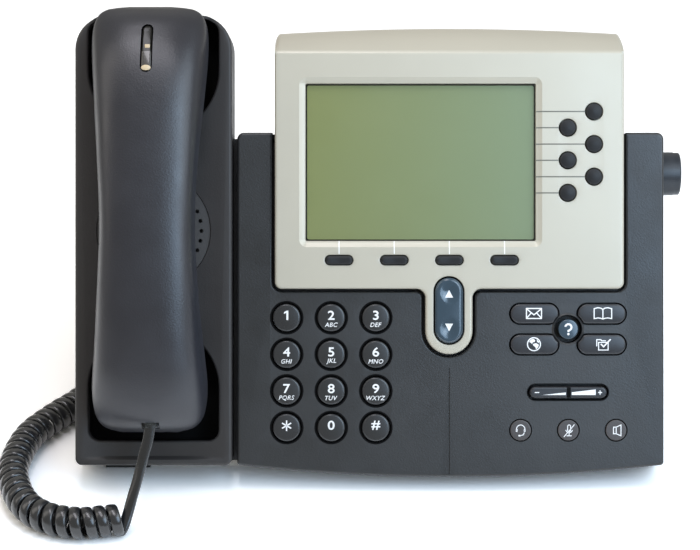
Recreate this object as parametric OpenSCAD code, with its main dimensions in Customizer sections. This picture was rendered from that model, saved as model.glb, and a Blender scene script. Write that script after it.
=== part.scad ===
// Desk IP phone: a slab-like console that leans back on a footstand, with a
// handset column on the left, a raised display hood and a curly handset cord.
//
// Most pieces are drawn in the face frame: u runs to the right along the face,
// v runs up along the face and w stands out of it, with w = 0 on the dark
// keypad face. posed() leans that frame back and stands it on the table, where
// +Z is up and the phone looks along -Y.

/* [Stance] */
// Angle between the phone's face and the table, in degrees
tilt = 60; // [59:0.5:61]
// Height of the face frame's origin above the table
rise = 13.2; // [13:0.1:13.4]
// Angle that the open footstand makes with the phone's back, in degrees
stand_open = 54; // [52:0.5:55]
// Distance from the footstand's axle to the edge that meets the table
stand_reach = 128.1; // [127:0.1:130]

/* [Body] */
// Width of the handset column
column_w = 68.8; // [68:0.2:70]
// Height of the handset column, along the face
column_h = 197.8; // [197:0.2:200]
// Width of the main body beside the column
main_w = 187.8; // [187:0.2:190]
// Height of the main body, along the face
main_h = 146.3; // [145.5:0.2:147]
// Width of the groove between column and main body
groove_w = 2.2; // [1.8:0.1:2.6]
// How far the bottom edge bows below its two ends
bow = 5.3; // [4.5:0.1:5.4]
// Thickness of the casing walls
wall = 2.5; // [2.2:0.1:2.6]
// Depth behind the face where the front and rear casings part
parting = 14; // [13.5:0.5:14.5]
// Depth of the thin lower back
thin_d = 24; // [23.8:0.1:24.2]
// Depth of the thick upper back
thick_d = 42; // [41:0.5:44]

/* [Display] */
// Height of the silver bezel above the face
bezel_raise = 3.5; // [3.2:0.1:3.8]
// Width of the bezel
bezel_w = 153.2; // [152.6:0.2:155]
// Width of the glass area that shows
screen_w = 101; // [99:0.5:102]
// Height of the glass area that shows
screen_h = 69; // [67:0.5:69.5]

/* [Keys] */
// Radius of a dialling key's cap
dial_r = 6.2; // [5.8:0.1:6.4]
// Distance between dialling keys, sideways
dial_pitch_u = 19.6; // [18:0.1:20]
// Distance between dialling keys, up the face
dial_pitch_v = 16.1; // [15.6:0.1:16.4]
// How far every key travels
travel = 1; // [0.6:0.1:1]

/* [Handset] */
// Length of the handset
handset_l = 185.4; // [184.6:0.2:186.4]
// Thickness of the handset's shells
shell_t = 2.2; // [1.8:0.1:2.4]

/* [Cord] */
// Outer diameter of the curled cord
coil_d = 14; // [12:0.5:14]
// Width of the flat strand
strand_w = 4.8; // [4:0.1:5]

/* [Hidden] */
$fn = 48;
smooth = 720;         // facets of the very large arcs
over = 1;             // how far a cut runs past what it cuts
far = 400;            // longer than the phone in any direction

// Centre of the standing phone in the face frame's own row axes
centre_x = 4.6;
centre_y = 66.95;

// Body outlines
main_l = -58.5;
main_r = main_l + main_w;
main_mid = (main_l + main_r) / 2;
column_r = main_l - groove_w;
column_l = column_r - column_w;
column_mid = (column_l + column_r) / 2;
bow_r = main_w * main_w / 8 / bow + bow / 2;
rim = 2.5;            // the column's rim above the keypad face
corner = 3;
column_corner = 15;   // at the column's top
column_draft = 2.6;    // how far the column's sides lean in towards its back
foot_w = 21.4;         // how far behind the face the feet begin
foot_gap = 1;         // height of the lower edge above the table

// Thick back: a ledge that faces straight down, and a sloping top
ledge_v = 100;
column_ledge_v = 60;
ledge_rate = tan(90 - tilt);
ledge_share = 0.83;    // the ledges are thinner than the walls, so plugs reach in well
chamfer = 8;

// Bezel and hood
bezel_l = -41.8;
bezel_r = bezel_l + bezel_w;
bezel_mid = (bezel_l + bezel_r) / 2;
bezel_b = 77.5;
bezel_t = 181.7;
hood_t = 194.4;
hood_d = 24;
hood_r = 1200;
hood_corner = 7;
hood_slope = (hood_t - bezel_t) / (hood_d + bezel_raise);
seat_gap = 0.3;
lobe_u = 34.6;
lobe_r = 10.35;
lobe_b = 48.8;
lobe_fillet = 4;
screen_mid = [22.2, 133.1];
screen_bevel = 2.9;
pane_t = 1.1;
opening_l = -36;
opening_r = 81;
opening_b = 94.2;

// Keys, in the face frame
dial_at = [-36.65, 64.8];
dial_names = ["key_1", "key_2", "key_3", "key_4", "key_5", "key_6", "key_7", "key_8", "key_9",
    "key_star", "key_0", "key_hash"];
line_r = 3.55;
line_at = [[98.2, 155.3], [86.7, 148.2], [98.2, 141], [86.7, 133.9], [98.2, 126.7], [86.7, 119.6]];
line_names = [for (i = [1:6]) str("line_key_", i)];
soft_size = [11.9, 3.9];
soft_pitch = 24.2;
soft_at = [-13.6, 90.1];
soft_names = [for (i = [1:4]) str("soft_key_", i)];
help_at = [87.1, 59.8];
help_r = 4.35;
help_collar_r = 6;
bite_r = 7.3;
menu_size = [21.3, 8.8];
menu_step = [14.8, 6.75];
menu_names = ["messages_key", "directories_key", "services_key", "settings_key"];
scroll_size = [12.2, 28.8];
scroll_at = [lobe_u, 68];
volume_size = [34.6, 6];
volume_at = [87.1, 32];
audio_r = 4.55;
audio_pitch = 21;
audio_at = [66.25, 15.3];
audio_names = ["headset_key", "mute_key", "speaker_key"];
key_gap = 0.4;
flange_out = 1;       // how far a key's flange reaches past its cap
flange_top = -2.9;
flange_bottom = -4.1;
key_bottom = -6.5;
rocker_flange_top = -3.8;
rocker_flange_bottom = -5;
pin_r = 0.55;
stem_in = 1.3;
face_key_top = 1.6;

// Inside
board_top = -11;
board_t = 1.6;
mat_t = 1;
dome_gap = 0.3;         // between a resting key and the rubber dome it presses
dome_top = key_bottom - travel - dome_gap;
boss_at = [[-50.5, 9], [121.5, 9], [-50.5, 92], [121.5, 92]];
column_boss_at = [[column_mid - 26.5, 130], [column_mid + 26.5, 130]];
boss_r = 4.5;
pilot_r = 1.25;

// Footstand
axle_at = [129, -20];
axle_r = 3;
axle_end = 116.6;
hub_r = 7;
hub_gap = 0.05;
arm_w = 12;
arm_l = -44;
arm_r = 102;
slot_gap = 0.6;
slot_wall = 2;
rail_in = 5;          // depth of a rail's inner side behind the axle, folded
rail_out = 12;
knob_r = 9.7;
knob_out = 9.4;
knob_well = 0.4;

// Column
pocket_r = 28.6;
ear_v = 174;
mouth_v = 33.5;
ear_top = 196.4;
mouth_bottom = 10.6;
pocket_floor = -16;
tub_t = 2.2;
trough_half = 31;
trough_r = (trough_half * trough_half + rim * rim) / 2 / rim;
grille_v = 103;
grille_r = 25;
hook_at = [column_mid, 160];

// Handset: [height up the face, value] knots of its side and plan views
ear_end = 200.6;
mouth_end = ear_end - handset_l;
handset_mid = column_mid - 0.7;
half_width = [[15.2, 12], [16.7, 18], [20, 22.2], [27, 24.5], [36, 25.1], [50, 24], [72, 22.1],
    [95, 20.8], [108, 20.6], [122, 21], [143, 22.5], [160, 24], [179, 25.3], [190, 25],
    [196.6, 22.7], [199.3, 19], [200.2, 14], [200.6, 9]];
crest_line = [[15.2, 11], [16.7, 18], [19, 23.5], [23, 28], [31, 31.5], [45, 35], [70, 38], [100, 39],
    [125, 38], [150, 36], [168, 33.3], [180, 29.3], [189.5, 23.5], [195.3, 18.5], [199.1, 12.5],
    [200.6, 8]];
seam_line = [[15.2, 11], [30, 12], [50, 16], [75, 24], [100, 26], [125, 25.5], [145, 21], [165, 14],
    [185, 10], [200.6, 8]];
under_line = [[15.2, 10], [18, 10], [40, 12], [66, 18], [100, 18.5], [135, 18], [160, 14], [190, 6],
    [200.6, 7]];
seam_gap = 0.1;
cup_floor = -12;
cup_flat = 22.5;
cup_reach = 27;
ear_cup_v = 176;
mouth_cup_v = 33;
ear_lip = [190.2, 194.6];
mouth_lip = [24.6, 15.6];
lip_w = 3.2;
sound_hole_r = 0.8;
sound_ring_r = 5;
shell_stations = 24;
shell_arc = 14;
lamp_v = [170.2, 191.3];
lamp_half = 2.4;
plug_w = [19.2, 24.8];
plug_v = [20, 31];
plug_half = 3.5;
plug_u = column_mid + 0.5;
plug_room = 0.3;      // round the plug in its socket
plug_neck = [4, 2.6];  // width and depth of the lead where it leaves the plug
capsule_lift = 6;   // of the ear and mouth capsules above the cups' floors

// Cord, in row axes: flat lead from the handset, curled stretch, flat tail to the jack
lead_route = [[-95.4, -11.8, 36.9], [-95.8, -12.9, 34.9], [-97.3, -15.5, 30.4], [-98.6, -18.2, 25.8],
    [-100.4, -22, 20.1], [-102.4, -26, 14.3], [-104.2, -30.2, 8.8], [-105.6, -32.8, 5.4]];
coil_route = [[-108, -32], [-116, -33.4], [-124.4, -34.5], [-133.1, -33], [-139.9, -30.1],
    [-147.6, -23.6], [-153.8, -12.4], [-158, 3.5], [-157, 19.9], [-153.6, 32.7], [-147.5, 42.9],
    [-141.1, 51.6], [-136.2, 57.5], [-130, 67], [-126, 81], [-121, 95.5], [-115, 108.5], [-105, 117.5],
    [-92, 119.5], [-80, 113.5], [-74, 102], [-74, 88], [-77, 74]];
tail_route = [[-77, 74, 6], [-79, 64, 5], [-83, 56, 5], [-89, 50, 8], [-94, 49, 15], [-97, 52, 25],
    [-99, 57, 36], [-100, 60.3, 43], [-100, 60.5, 48.8]];

// Sockets on the two ledges: [u, width, depth, height, opening width, opening depth]
socket_list = [[-14, 9, 11, 14, 6.5, 6.5], [8, 13, 13, 15, 9.8, 6.8], [32, 16, 13.4, 17, 11.8, 8],
    [54, 16, 13.4, 17, 11.8, 8]];
column_socket_list = [[-100, 11, 11, 14, 7.9, 6.4], [-84, 11, 11, 14, 7.9, 6.4]];
socket_y = 81;
column_socket_y = 60.5;
ledge_z = ledge_v * sin(tilt) - thin_d * cos(tilt) + rise;
column_ledge_z = column_ledge_v * sin(tilt) - thin_d * cos(tilt) + rise;

// ---- frames ----

// Face frame, leaned back and stood on the table
module posed() {
    translate([-centre_x, -centre_y, rise]) rotate([tilt, 0, 0]) children();
}

// Row axes again, inside posed(): z is then the height above the table
module level() {
    rotate([-tilt, 0, 0]) translate([0, 0, -rise]) children();
}

// Row axes with the face frame's own sideways origin, for what lies on the table
module on_table() {
    translate([-centre_x, -centre_y, 0]) children();
}

// Everything lower than a height above the table, inside posed()
module below_table(height) {
    level() translate([-far / 2, -far / 2, height - far]) cube(far);
}

// ---- outlines and blocks ----

module area(l, b, r, t) {
    translate([l, b]) square([r - l, t - b]);
}

// A rectangle with round corners, one radius at the bottom and one at the top
module soft_area(l, b, r, t, rb, rt) {
    area(l, b + rb, r, t - rt);
    area(l + rb, b, r - rb, b + rb + over);
    area(l + rt, t - rt - over, r - rt, t);
    for (x = [l + rb, r - rb]) translate([x, b + rb]) circle(rb);
    for (x = [l + rt, r - rt]) translate([x, t - rt]) circle(rt);
}

module pill(size) {
    w = size[0];
    h = size[1];
    d = min(w, h);
    square([w - (w > h ? d : 0), h - (h > w ? d : 0)], center = true);
    for (s = [-1, 1]) translate([s * (w - d) / 2, s * (h - d) / 2]) circle(d / 2);
}

module layer(low, high) {
    translate([0, 0, low]) linear_extrude(high - low) children();
}

module block(l, b, low, r, t, high) {
    translate([l, b, low]) cube([r - l, t - b, high - low]);
}

// A side profile drawn in (v, w), run sideways from u0 to u1
module along_u(u0, u1) {
    translate([u0, 0, 0]) rotate([90, 0, 90]) linear_extrude(u1 - u0) children();
}

// A plan profile drawn in (u, w), run up the face from v0 to v1
module along_v(v0, v1) {
    translate([0, v1, 0]) rotate([90, 0, 0]) linear_extrude(v1 - v0) children();
}

module main_outline(i) {
    intersection() {
        soft_area(main_l + i, -20, main_r - i, main_h - i, 1, corner);
        translate([main_mid, bow_r - bow]) circle(bow_r - i, $fn = smooth);
    }
}

module column_outline(i) {
    soft_area(column_l + i, i, column_r - i, column_h - i, corner, column_corner);
}

// The display hood seen from the front: a gentle arch with rounded shoulders
module hood_outline(i) {
    intersection() {
        soft_area(bezel_l + i, main_h - 10, bezel_r - i, hood_t - i, 1, hood_corner);
        translate([bezel_mid, hood_t - hood_r]) circle(hood_r - i, $fn = smooth);
    }
}

module bezel_outline() {
    soft_area(bezel_l, bezel_b, bezel_r, main_h, corner, 1);
    area(bezel_l, main_h - 5, bezel_r, main_h + over);
    area(lobe_u - lobe_r, lobe_b + lobe_r, lobe_u + lobe_r, bezel_b + over);
    translate([lobe_u, lobe_b + lobe_r]) circle(lobe_r);
    for (s = [-1, 1]) {
        difference() {
            translate([lobe_u + s * (lobe_r + lobe_fillet / 2), bezel_b - lobe_fillet / 2 + 0.5])
                square([lobe_fillet, lobe_fillet + 1], center = true);
            translate([lobe_u + s * (lobe_r + lobe_fillet), bezel_b - lobe_fillet])
                circle(lobe_fillet);
        }
    }
}

// Height up the face of a ledge at a given depth: it runs level when the phone stands
function ledge_at(start, depth, i) = start + (depth - thin_d) * ledge_rate + i * ledge_share;

module thick_profile(start, top, i) {
    polygon([
        [ledge_at(start, parting - over, i), -parting + over],
        [ledge_at(start, thick_d - i, i), -thick_d + i],
        [top - 32 - i, -thick_d + i],
        [top - 2 * i, -thin_d],
        [top - 2 * i, -parting + over]]);
}

module thick_plan(l, r, i, draft = 0) {
    polygon([
        [l + i, -parting + over], [l + draft + i, -thick_d + chamfer + i / 2],
        [l + draft + chamfer + i / 2, -thick_d + i], [r - draft - chamfer - i / 2, -thick_d + i],
        [r - draft - i, -thick_d + chamfer + i / 2], [r - i, -parting + over]]);
}

// The rear casing's form, pulled in by i; i = 0 is its outside
module rear_form(i) {
    top = i > 0 ? -parting + over : -parting;
    layer(-thin_d + i, top) main_outline(i);
    layer(-thin_d + i, top) column_outline(i);
    if (i == 0) block(column_r - over, foot_gap, -thin_d, main_l + over, main_h - 2, -parting);
    intersection() {
        layer(-thick_d, top) main_outline(i);
        along_u(main_l, main_r) thick_profile(ledge_v, hood_t + 60, i);
        along_v(ledge_v - 10, main_h) thick_plan(main_l, main_r, i);
    }
    intersection() {
        layer(-thick_d, -thin_d) difference() {
            hood_outline(i);
            area(bezel_l - over, main_h - 20, bezel_r + over, main_h - wall - over);
        }
        along_u(bezel_l, bezel_r) thick_profile(ledge_v, hood_t, i);
        along_v(ledge_v, hood_t + over) thick_plan(bezel_l, bezel_r, i);
    }
    intersection() {
        layer(-thick_d, top) column_outline(i);
        along_u(column_l, column_r) thick_profile(column_ledge_v, column_h, i);
        along_v(column_ledge_v - 10, column_h + over) thick_plan(column_l, column_r, i, column_draft);
    }
}

// ---- keys ----

// A round key: cap, shoulder flange under the casing and stem
module round_key(at, r, top) {
    translate([at[0], at[1], 0]) rotate_extrude() polygon([
        [0, key_bottom], [r - stem_in, key_bottom], [r - stem_in, flange_bottom],
        [r + flange_out, flange_bottom], [r + flange_out, flange_top], [r, flange_top],
        [r, top - 0.6], [r - 0.6, top], [0, top]]);
}

module pill_key(at, size, top) {
    translate([at[0], at[1], 0]) {
        layer(flange_bottom, top) pill(size);
        layer(flange_bottom, flange_top) pill(size + [2 * flange_out, 2 * flange_out]);
        layer(key_bottom, flange_bottom) pill(size - [stem_in, stem_in]);
    }
}

// A rocker turns on a pin across its middle, so its flange sits lower. turn is the pin's direction
module rocker(at, size, top, turn) {
    across = turn == 0 ? size[0] : size[1];
    translate([at[0], at[1], 0]) {
        layer(rocker_flange_bottom, top) pill(size);
        layer(rocker_flange_bottom, rocker_flange_top) pill(size + [2, 2]);
        layer(-6, rocker_flange_bottom) pill(size - [2, 2]);
        translate([0, 0, (rocker_flange_top + rocker_flange_bottom) / 2]) rotate([90, 0, turn + 90])
            cylinder(r = pin_r, h = across + 5, center = true);
    }
}

function dial_pos(i) = dial_at + [(i % 3) * dial_pitch_u, -floor(i / 3) * dial_pitch_v];
function soft_pos(i) = soft_at + [i * soft_pitch, 0];
function menu_pos(i) = help_at + [(i % 2 == 0 ? -1 : 1) * menu_step[0], (i < 2 ? 1 : -1) * menu_step[1]];
function audio_pos(i) = audio_at + [i * audio_pitch, 0];

module menu_key(i) {
    difference() {
        pill_key(menu_pos(i), menu_size, face_key_top);
        translate([help_at[0], help_at[1], flange_top]) cylinder(r = bite_r, h = 10);
        translate([help_at[0], help_at[1], -10]) cylinder(r = bite_r - 0.7, h = 20);
    }
}

// Every hole that a key comes up through
module key_holes(low, high) {
    layer(low, high) {
        for (i = [0:11]) translate(dial_pos(i)) circle(dial_r + key_gap + 0.2);
        for (at = line_at) translate(at) circle(line_r + key_gap);
        for (i = [0:3]) translate(soft_pos(i)) pill(soft_size + [0.7, 0.7]);
        for (i = [0:2]) translate(audio_pos(i)) circle(audio_r + 0.3);
        translate(scroll_at) pill(scroll_size + [0.9, 1.3]);
        translate(volume_at) pill(volume_size + [1.1, 0.9]);
        translate(help_at) circle(help_r + key_gap);
        for (i = [0:3]) difference() {
            translate(menu_pos(i)) pill(menu_size + [0.7, 0.7]);
            translate(help_at) circle(bite_r - key_gap);
        }
    }
}

// ---- sub-parts ----

module front_housing() {
    color([0.16, 0.165, 0.18]) posed() {
        difference() {
            union() {
                difference() {
                    layer(-parting, 0) main_outline(0);
                    layer(-parting - over, -wall) main_outline(wall);
                    block(opening_l, opening_b, -parting - over, opening_r, main_h + over, over);
                    block(opening_r - over, main_h - 6, -parting - over, 107.5, main_h + over, -wall);
                }
                block(83, main_h - 6, -wall, 108.5, 166, 0);
                for (at = boss_at) translate([at[0], at[1], -parting]) cylinder(r = 3.4, h = parting - 1);
                translate([help_at[0], help_at[1], -1]) cylinder(r = help_collar_r, h = 1.5);
            }
            key_holes(-5, 4);
            for (at = boss_at) translate([at[0], at[1], -parting - over])
                cylinder(r = pilot_r, h = 8);
            knob_bore(knob_r + knob_well);
        }
    }
}

module handset_cradle() {
    color([0.15, 0.155, 0.17]) posed() {
        difference() {
            union() {
                difference() {
                    layer(-parting, rim) column_outline(0);
                    layer(-parting - over, -wall) column_outline(wall);
                }
                layer(-parting, -over) ear_outline(tub_t);
                layer(pocket_floor - tub_t, -over) inside_walls(0) ear_outline(tub_t);
                layer(pocket_floor - tub_t, -over) mouth_outline(tub_t);
                for (at = column_boss_at) translate([at[0], at[1], -parting])
                    cylinder(r = 3.4, h = parting - 1);
            }
            intersection() {
                block(column_l - over, 3, -over, column_r + over, column_h - 2.4, rim + over);
                translate([column_mid, -over, trough_r]) rotate([-90, 0, 0])
                    cylinder(r = trough_r, h = far, $fn = smooth);
            }
            layer(-parting + tub_t, rim + over) ear_outline(0);
            layer(pocket_floor, rim + over) {
                inside_walls(tub_t) ear_outline(0);
                mouth_outline(0);
            }
            translate([column_mid, grille_v, -wall - over]) cylinder(r = grille_r, h = 10);
            translate([hook_at[0], hook_at[1], pocket_floor - 10]) linear_extrude(20)
                pill([9, 6]);
            for (at = column_boss_at) translate([at[0], at[1], -parting - over])
                cylinder(r = pilot_r, h = 8);
        }
    }
}

// What of an outline lies inside the rear casing's walls, by at least i
module inside_walls(i) {
    intersection() {
        column_outline(wall + seat_gap + i);
        children();
    }
}

// The two pockets that the handset's cups sit in, grown by g
module ear_outline(g) {
    intersection() {
        translate([column_mid, ear_v]) circle(pocket_r + g);
        area(column_l, 0, column_r, ear_v);
    }
    soft_area(column_mid - pocket_r - g, ear_v - 1, column_mid + pocket_r + g,
        min(ear_top + g, column_h - 0.5), 0.5, 7);
}

module mouth_outline(g) {
    intersection() {
        translate([column_mid, mouth_v]) circle(pocket_r + g);
        area(column_l, mouth_v, column_r, column_h);
    }
    soft_area(column_mid - pocket_r - g, mouth_bottom - g, column_mid + pocket_r + g, mouth_v + 1, 5, 0.5);
}

module knob_bore(r) {
    translate([main_r - 10.3, axle_at[0], axle_at[1]]) rotate([0, 90, 0]) cylinder(r = r, h = 20);
}

module rear_housing() {
    color([0.13, 0.135, 0.15]) posed() {
        difference() {
            union() {
                difference() {
                    rear_form(0);
                    rear_form(wall);
                }
                for (l = [arm_l, arm_r]) along_u(l - slot_gap - slot_wall, l + arm_w + slot_gap + slot_wall)
                    polygon([
                        [ledge_at(ledge_v, parting, 0), -parting],
                        [ledge_at(ledge_v, thick_d, 0), -thick_d],
                        [140, -thick_d], [140, -parting]]);
                for (at = boss_at) translate([at[0], at[1], -thin_d]) cylinder(r = boss_r, h = thin_d - parting);
                for (at = column_boss_at) translate([at[0], at[1], -thick_d + over])
                    cylinder(r = boss_r, h = thick_d - parting - over);
            }
            for (l = [arm_l, arm_r]) block(l - slot_gap, ledge_v - 1, -thick_d - over,
                l + arm_w + slot_gap, 137.5, -parting + over);
            translate([arm_l - 4, axle_at[0], axle_at[1]]) rotate([0, 90, 0])
                cylinder(r = axle_r + 0.02, h = axle_end - arm_l + 4 + over);
            knob_bore(knob_r + knob_well);
            for (at = boss_at) translate([at[0], at[1], 0]) {
                translate([0, 0, -thin_d - over]) cylinder(r = 1.7, h = 20);
                translate([0, 0, -thin_d - over]) cylinder(r = 3.7, h = 3 + over);
            }
            for (at = column_boss_at) translate([at[0], at[1], 0]) {
                translate([0, 0, -thick_d - over]) cylinder(r = 1.7, h = 40);
                translate([0, 0, -thick_d - over]) cylinder(r = 3.7, h = 3 + over);
            }
            level() {
                for (s = socket_list) socket_block(s, socket_y, ledge_z, 0.15);
                for (s = column_socket_list) socket_block(s, column_socket_y, column_ledge_z, 0.15);
            }
            block(column_r - wall - over, 20, -thin_d + wall + 1, main_l + wall + over, 60, -parting - 1);
            below_table(foot_gap);
        }
    }
}

// Outside of one socket body, standing on its ledge and opening downwards
module socket_block(s, y, z, gap) {
    translate([s[0] - s[1] / 2 - gap, y - s[2] / 2 - gap, z - gap])
        cube([s[1] + 2 * gap, s[2] + 2 * gap, s[3] + 2 * gap]);
}

module display_bezel() {
    color([0.74, 0.75, 0.73]) posed() {
        difference() {
            union() {
                layer(0, bezel_raise) bezel_outline();
                difference() {
                    layer(-hood_d, bezel_raise) hood_outline(0);
                    block(bezel_l - over, 0, -hood_d - over, bezel_r + over, main_h + seat_gap, 0);
                    block(bezel_l - over, 0, -over, bezel_r + over, main_h - 5, far);
                }
            }
            hood_cut(0);
            difference() {
                layer(-hood_d - over, 0) difference() {
                    hood_outline(wall);
                    area(bezel_l, 0, bezel_r, main_h);
                }
                hood_cut(wall);
            }
            block(screen_mid[0] - 52.7, screen_mid[1] - 36.7, -over,
                screen_mid[0] + 52.7, screen_mid[1] + 36.7, pane_t + 0.1);
            translate([screen_mid[0], screen_mid[1], 0]) hull() {
                layer(bezel_raise, bezel_raise + over)
                    square([screen_w + 2 * screen_bevel, screen_h + 2 * screen_bevel], center = true);
                layer(pane_t, pane_t + 0.1) square([screen_w, screen_h], center = true);
            }
            key_holes(-5, 10);
        }
    }
}

// Above the hood's sloping top, raised or lowered by i
module hood_cut(i) {
    drop = i * 1.07;
    along_u(bezel_l - over, bezel_r + over) polygon([
        [bezel_t - drop - 20 * hood_slope, bezel_raise + 20],
        [hood_t - drop + 6 * hood_slope, -hood_d - 6],
        [hood_t + 40, -hood_d - 6], [hood_t + 40, bezel_raise + 20]]);
}

module display_window() {
    color([0.6, 0.68, 0.55, 0.5]) posed()
        block(screen_mid[0] - 52.5, screen_mid[1] - 36.5, 0, screen_mid[0] + 52.5, screen_mid[1] + 36.5, pane_t);
}

module lcd_module() {
    color([0.5, 0.56, 0.4]) posed() difference() {
        block(opening_l + 1, opening_b + 0.5, board_top, opening_r - 1, 172, -0.2);
        translate([screen_mid[0], screen_mid[1], -0.8]) layer(0, 2) square([screen_w + 2, screen_h + 2], center = true);
    }
}

module main_board() {
    color([0.1, 0.35, 0.2]) posed() difference() {
        layer(board_top - board_t, board_top) {
            area(main_l + 4, 3, main_r - 4, 141);
            area(83, 140, 106, 165);
        }
        for (at = boss_at) translate([at[0], at[1], board_top - 5]) cylinder(r = 4.2, h = 10);
        block(115, 114, board_top - 5, main_r, 145, board_top + 5);
    }
}

module key_mats() {
    color([0.25, 0.25, 0.27]) posed() {
        layer(board_top, board_top + mat_t) {
            area(-45, 8, 11, 74);
            area(24, 6, 114, 82);
            area(-22, 84, 68, 93);
            area(82, 114, 104, 160);
        }
        layer(board_top + mat_t - 0.2, dome_top) {
            for (i = [0:11]) translate(dial_pos(i)) circle(3);
            for (at = line_at) translate(at) circle(2);
            for (i = [0:3]) translate(soft_pos(i)) circle(2);
            for (i = [0:3]) translate(menu_pos(i)) circle(2.5);
            for (i = [0:2]) translate(audio_pos(i)) circle(2.5);
            for (s = [-10, 10]) translate(scroll_at + [0, s]) circle(2.5);
            for (s = [-13, 13]) translate(volume_at + [s, 0]) circle(2);
            translate(help_at) circle(2);
        }
    }
}

module speaker_driver() {
    color([0.3, 0.3, 0.32]) posed() translate([column_mid, grille_v, 0]) rotate_extrude() polygon([
        [0, -21], [11, -21], [11, -14], [14, -12], [23.5, -5], [24.5, -5], [24.5, -2.7],
        [21, -2.7], [10, -8], [0, -8]]);
}

module speaker_grille() {
    color([0.12, 0.12, 0.13]) posed() difference() {
        translate([column_mid, grille_v, -wall]) cylinder(r = grille_r - 0.1, h = wall + 0.8);
        translate([column_mid, -over, trough_r]) rotate([-90, 0, 0])
            cylinder(r = trough_r, h = far, $fn = smooth);
        for (ring = [1:5]) for (k = [0:ring * 6 - 1])
            translate([column_mid, grille_v, -wall - over]) rotate(k * 60 / ring)
                translate([ring * 4.2, 0, 0]) cylinder(r = 0.9, h = 6);
    }
}

module port_sockets() {
    color([0.08, 0.08, 0.09]) posed() level() {
        for (s = socket_list) socket(s, socket_y, ledge_z);
        for (s = column_socket_list) socket(s, column_socket_y, column_ledge_z);
    }
}

// A socket body with its mouth facing down
module socket(s, y, z) {
    difference() {
        socket_block(s, y, z, 0);
        translate([s[0] - s[4] / 2, y - s[5] / 2, z - over]) cube([s[4], s[5], s[3] - 3 + over]);
    }
}

module case_screws() {
    color([0.55, 0.56, 0.58]) posed() {
        for (at = boss_at) translate([at[0], at[1], -thin_d + 0.4]) screw(14);
        for (at = column_boss_at) translate([at[0], at[1], -thick_d + 0.4]) screw(32);
    }
}

module screw(length) {
    difference() {
        union() {
            cylinder(r = 3.2, h = 2.2);
            cylinder(r = pilot_r - 0.05, h = length);
        }
        for (turn = [0, 90]) rotate(turn) translate([-2, -0.4, -over]) cube([4, 0.8, over + 1.2]);
    }
}

// Rubber wedges under the lower edge, cut level with the table
module front_feet() {
    color([0.05, 0.05, 0.05]) posed() difference() {
        for (l = [column_l + 11, main_r - 30]) along_u(l, l + 20)
            polygon([[-8, -foot_w], [-8, -thin_d + 0.2], [1, -thin_d + 0.2], [1, -foot_w]]);
        layer(-thin_d - over, -parting) {
            main_outline(0);
            column_outline(0);
        }
        below_table(0);
    }
}

module stand_axle() {
    color([0.7, 0.7, 0.72]) posed() translate([arm_l - 2, axle_at[0], axle_at[1]]) rotate([0, 90, 0])
        cylinder(r = axle_r, h = axle_end - arm_l + 2);
}

// The footstand is drawn folded, its axle at the origin, then swung open
module swung() {
    posed() translate([0, axle_at[0], axle_at[1]]) rotate([stand_open, 0, 0]) children();
}

module footstand() {
    color([0.13, 0.135, 0.15]) swung() {
        tip = -stand_reach + 3.1;
        difference() {
            union() {
                for (l = [arm_l, arm_r]) {
                    translate([l, 0, 0]) rotate([0, 90, 0]) cylinder(r = hub_r - 0.5, h = arm_w);
                    along_u(l, l + arm_w) polygon([
                        [0, hub_r - 0.6], [-8, 5.2], [-27, -rail_in], [tip, -rail_in],
                        [tip, -rail_out], [-20, -rail_out], [5.4, -3.4]]);
                }
                block(arm_l + 1, tip, -rail_out, arm_r + arm_w - 1, -36, -rail_out + 2.5);
                block(arm_l + 1, tip, -rail_out, arm_r + arm_w - 1, tip + 3, -rail_in - 1);
                block(arm_l + 1, -39, -rail_out, arm_r + arm_w - 1, -36, -rail_in - 1);
            }
            block(-12, -88, -rail_out - over, 82, -50, 0);
            for (l = [arm_l, arm_r]) translate([l - over, 0, 0]) rotate([0, 90, 0])
                cylinder(r = axle_r + hub_gap, h = arm_w + 2 * over);
        }
    }
}

module stand_pads() {
    color([0.05, 0.05, 0.05]) difference() {
        swung() for (l = [arm_l, arm_r])
            block(l, -stand_reach - 9, -rail_out, l + arm_w, -stand_reach + 3.1, -rail_in);
        translate([-far / 2, -far / 2, -far]) cube(far);
    }
}

module stand_knob() {
    color([0.2, 0.21, 0.23]) posed() translate([main_r, axle_at[0], axle_at[1]]) rotate([0, 90, 0])
        rotate_extrude() polygon([
            [0, 1.5], [7.2, 1.5], [7.2, -8.3], [knob_r + 1.5, -8.3], [knob_r + 1.5, -6.3],
            [knob_r, -6.3], [knob_r, knob_out - 2], [knob_r - 0.6, knob_out - 0.6],
            [knob_r - 2, knob_out], [0, knob_out]]);
}

// Coil spring behind the knob, as a row of wire rings
module knob_spring() {
    color([0.7, 0.7, 0.72]) posed() for (i = [0:5])
        translate([axle_end + 1 + i * 2.1, axle_at[0], axle_at[1]]) rotate([0, 90, 0])
            rotate_extrude() translate([5.6, 0]) circle(0.5);
}

module hook_plunger() {
    color([0.1, 0.1, 0.11]) posed() translate([hook_at[0], hook_at[1], 0]) {
        layer(-25, cup_floor - 0.4) pill([8.4, 5.4]);
        layer(-25, -23.5) pill([12, 9]);
    }
}

// ---- handset ----

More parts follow.
